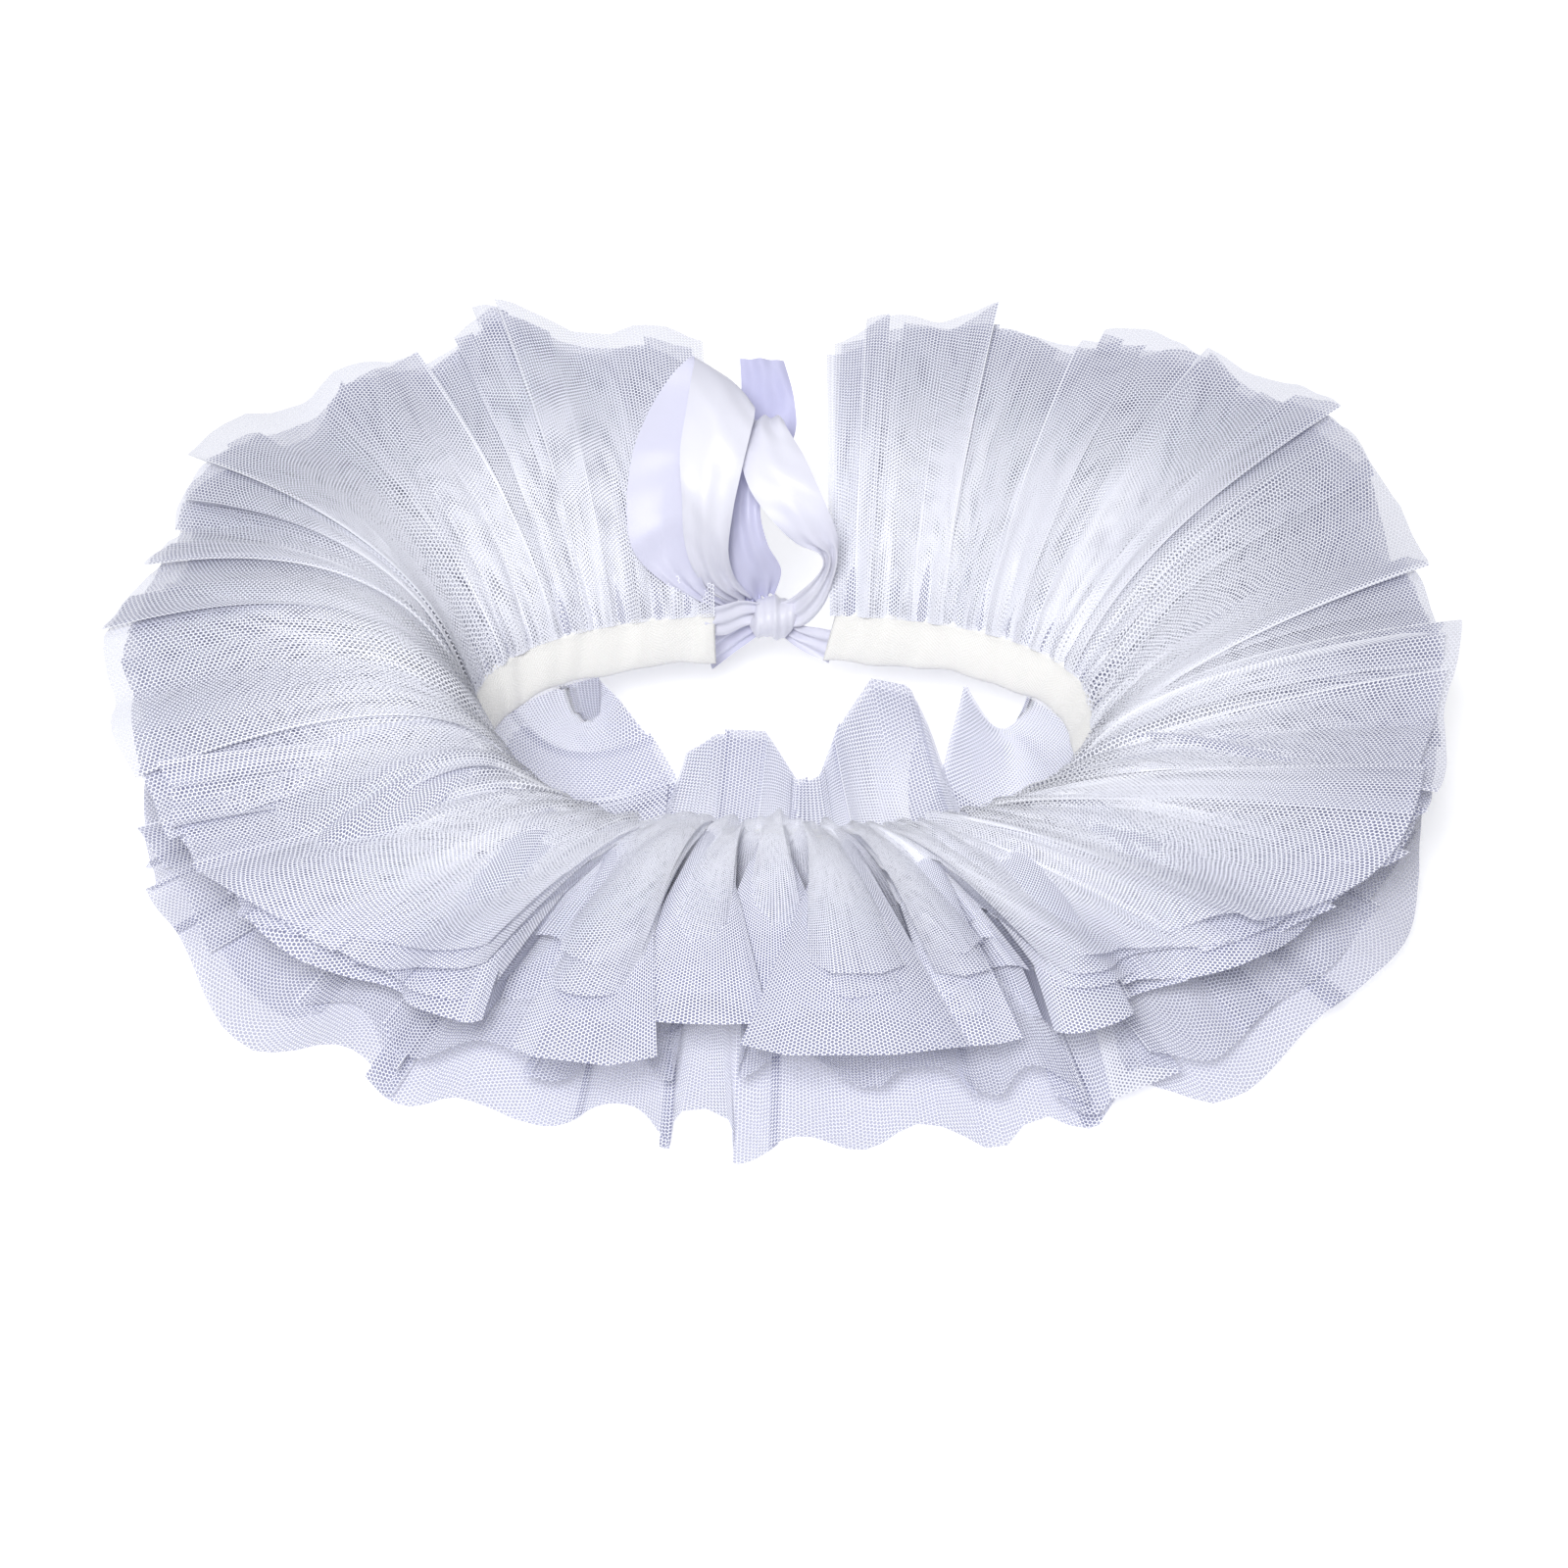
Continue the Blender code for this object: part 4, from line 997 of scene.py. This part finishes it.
def add_camera(settings):
    camera = bpy.data.cameras.new("camera")
    camera.sensor_width = 36.0
    camera.lens = settings.lens
    camera.clip_start = 0.01
    view = bpy.data.objects.new("camera", camera)
    aim = Vector(CAMERA_AIM)
    rise = settings.camera_elevation
    away = Vector((0.0, -math.cos(rise), math.sin(rise)))
    view.location = aim + away * settings.camera_distance
    view.rotation_euler = (math.pi / 2.0 - rise, 0.0, 0.0)
    bpy.context.scene.collection.objects.link(view)
    bpy.context.scene.camera = view


# ---------------------------------------------------------------------------------------------- add-on


class CollarSettings(bpy.types.PropertyGroup):
    """Sizes and colours of the collar's cloths."""

    net_pitch: bpy.props.FloatProperty(
        name="Net pitch", description="Distance between neighbouring holes of the net", default=0.00106,
        min=0.0002, unit="LENGTH")
    net_thread: bpy.props.FloatProperty(
        name="Net thread", description="Width of the net's threads: higher is wider", default=-0.66,
        min=-1.5, max=3.0)
    net_color: bpy.props.FloatVectorProperty(
        name="Net colour", description="Colour of the net", default=(0.92, 0.93, 1.0), subtype="COLOR")
    # Painted shade: the dark colour put in the net's holes, and how densely it fills them.
    net_painted_shade_color: bpy.props.FloatVectorProperty(
        name="Net painted shade colour", description="Colour in the holes of plies that lie in the shade of others",
        default=(0.29, 0.30, 0.46), subtype="COLOR")
    net_shade: bpy.props.FloatProperty(
        name="Net shade", description="How dense that shade is in the holes", default=0.60, min=0.0, max=1.0)
    cotton_color: bpy.props.FloatVectorProperty(
        name="Cotton colour", description="Colour of the binding", default=(0.88, 0.87, 0.84),
        subtype="COLOR")
    satin_color: bpy.props.FloatVectorProperty(
        name="Satin colour", description="Colour of the ribbon", default=(0.76, 0.76, 0.84),
        subtype="COLOR")
    # Painted shade: the ribbon's colour where it lies in shade.
    satin_shade_color: bpy.props.FloatVectorProperty(
        name="Satin shade colour", description="Colour of the ribbon where it lies in shade",
        default=(0.50, 0.50, 0.74), subtype="COLOR")
    band_height: bpy.props.FloatProperty(
        name="Binding height", description="Height of the folded binding", default=0.013, unit="LENGTH")
    band_thickness: bpy.props.FloatProperty(
        name="Binding thickness", description="Thickness of the folded binding", default=0.0024,
        unit="LENGTH")


class StageSettings(bpy.types.PropertyGroup):
    """Floor, light and camera."""

    floor_color: bpy.props.FloatVectorProperty(
        name="Floor colour", description="Colour of the floor", default=(0.90, 0.90, 0.90),
        subtype="COLOR")
    floor_glow: bpy.props.FloatProperty(
        name="Floor glow", description="Light that the floor gives off by itself", default=0.42, min=0.0)
    world_light: bpy.props.FloatProperty(
        name="Room light", description="Strength of the light from all round", default=0.32)
    key_light: bpy.props.FloatProperty(
        name="Front light", description="Power of the soft light from the front", default=16.0, unit="POWER")
    top_light: bpy.props.FloatProperty(
        name="Top light", description="Power of the soft light from above", default=3.0, unit="POWER")
    lens: bpy.props.FloatProperty(
        name="Lens", description="Focal length in millimetres on a 36 mm wide sensor", default=107.5)
    camera_distance: bpy.props.FloatProperty(
        name="Camera distance", description="Distance from the collar", default=1.15, unit="LENGTH")
    camera_elevation: bpy.props.FloatProperty(
        name="Camera elevation", description="Height of the view above level", default=math.radians(42.0),
        subtype="ANGLE")


class COLLAR_OT_stage(bpy.types.Operator):
    """Add the floor, the studio light and the camera"""

    bl_idname = "ruff_collar.add_stage"
    bl_label = "Add stage"

    def execute(self, context):
        build_stage(context.scene.ruff_stage)
        return {"FINISHED"}


class COLLAR_OT_binding(bpy.types.Operator):
    """Add the cotton neck binding"""

    bl_idname = "ruff_collar.add_binding"
    bl_label = "Add binding"

    def execute(self, context):
        build_binding(context.scene.ruff_collar)
        return {"FINISHED"}


class COLLAR_OT_lower_net(bpy.types.Operator):
    """Add the plies of the lower ruffle"""

    bl_idname = "ruff_collar.add_lower_net"
    bl_label = "Add lower net"

    def execute(self, context):
        build_lower_net(context.scene.ruff_collar)
        return {"FINISHED"}


class COLLAR_OT_inner_net(bpy.types.Operator):
    """Add the net that lies inside the neck"""

    bl_idname = "ruff_collar.add_inner_net"
    bl_label = "Add inner net"

    def execute(self, context):
        build_inner_net(context.scene.ruff_collar)
        return {"FINISHED"}


class COLLAR_OT_upper_net(bpy.types.Operator):
    """Add the plies of the upper ruffle"""

    bl_idname = "ruff_collar.add_upper_net"
    bl_label = "Add upper net"

    def execute(self, context):
        build_upper_net(context.scene.ruff_collar)
        return {"FINISHED"}


class COLLAR_OT_bow(bpy.types.Operator):
    """Add the ties, loops and tails of the satin bow"""

    bl_idname = "ruff_collar.add_bow"
    bl_label = "Add bow"

    def execute(self, context):
        build_bow(context.scene.ruff_collar)
        return {"FINISHED"}


class COLLAR_OT_knot(bpy.types.Operator):
    """Add the knot of the satin bow"""

    bl_idname = "ruff_collar.add_knot"
    bl_label = "Add knot"

    def execute(self, context):
        build_knot(context.scene.ruff_collar)
        return {"FINISHED"}


OPERATORS = (
    COLLAR_OT_stage, COLLAR_OT_binding, COLLAR_OT_lower_net, COLLAR_OT_inner_net, COLLAR_OT_upper_net,
    COLLAR_OT_bow, COLLAR_OT_knot,
)


class COLLAR_PT_pieces(bpy.types.Panel):
    """Pieces of the ruff collar"""

    bl_label = "Ruff collar"
    bl_space_type = "VIEW_3D"
    bl_region_type = "UI"
    bl_category = "Ruff collar"

    def draw(self, context):
        for operator in OPERATORS:
            self.layout.operator(operator.bl_idname)
        for settings in (context.scene.ruff_collar, context.scene.ruff_stage):
            box = self.layout.box()
            for name in settings.__annotations__:
                box.prop(settings, name)


CLASSES = (CollarSettings, StageSettings, *OPERATORS, COLLAR_PT_pieces)


def register():
    for each in CLASSES:
        bpy.utils.register_class(each)
    bpy.types.Scene.ruff_collar = bpy.props.PointerProperty(type=CollarSettings)
    bpy.types.Scene.ruff_stage = bpy.props.PointerProperty(type=StageSettings)


def unregister():
    del bpy.types.Scene.ruff_stage
    del bpy.types.Scene.ruff_collar
    for each in reversed(CLASSES):
        bpy.utils.unregister_class(each)


def main():
    register()
    bpy.ops.ruff_collar.add_stage()
    bpy.ops.ruff_collar.add_binding()
    bpy.ops.ruff_collar.add_lower_net()
    bpy.ops.ruff_collar.add_inner_net()
    bpy.ops.ruff_collar.add_upper_net()
    bpy.ops.ruff_collar.add_bow()
    bpy.ops.ruff_collar.add_knot()


if __name__ == "__main__":
    main()
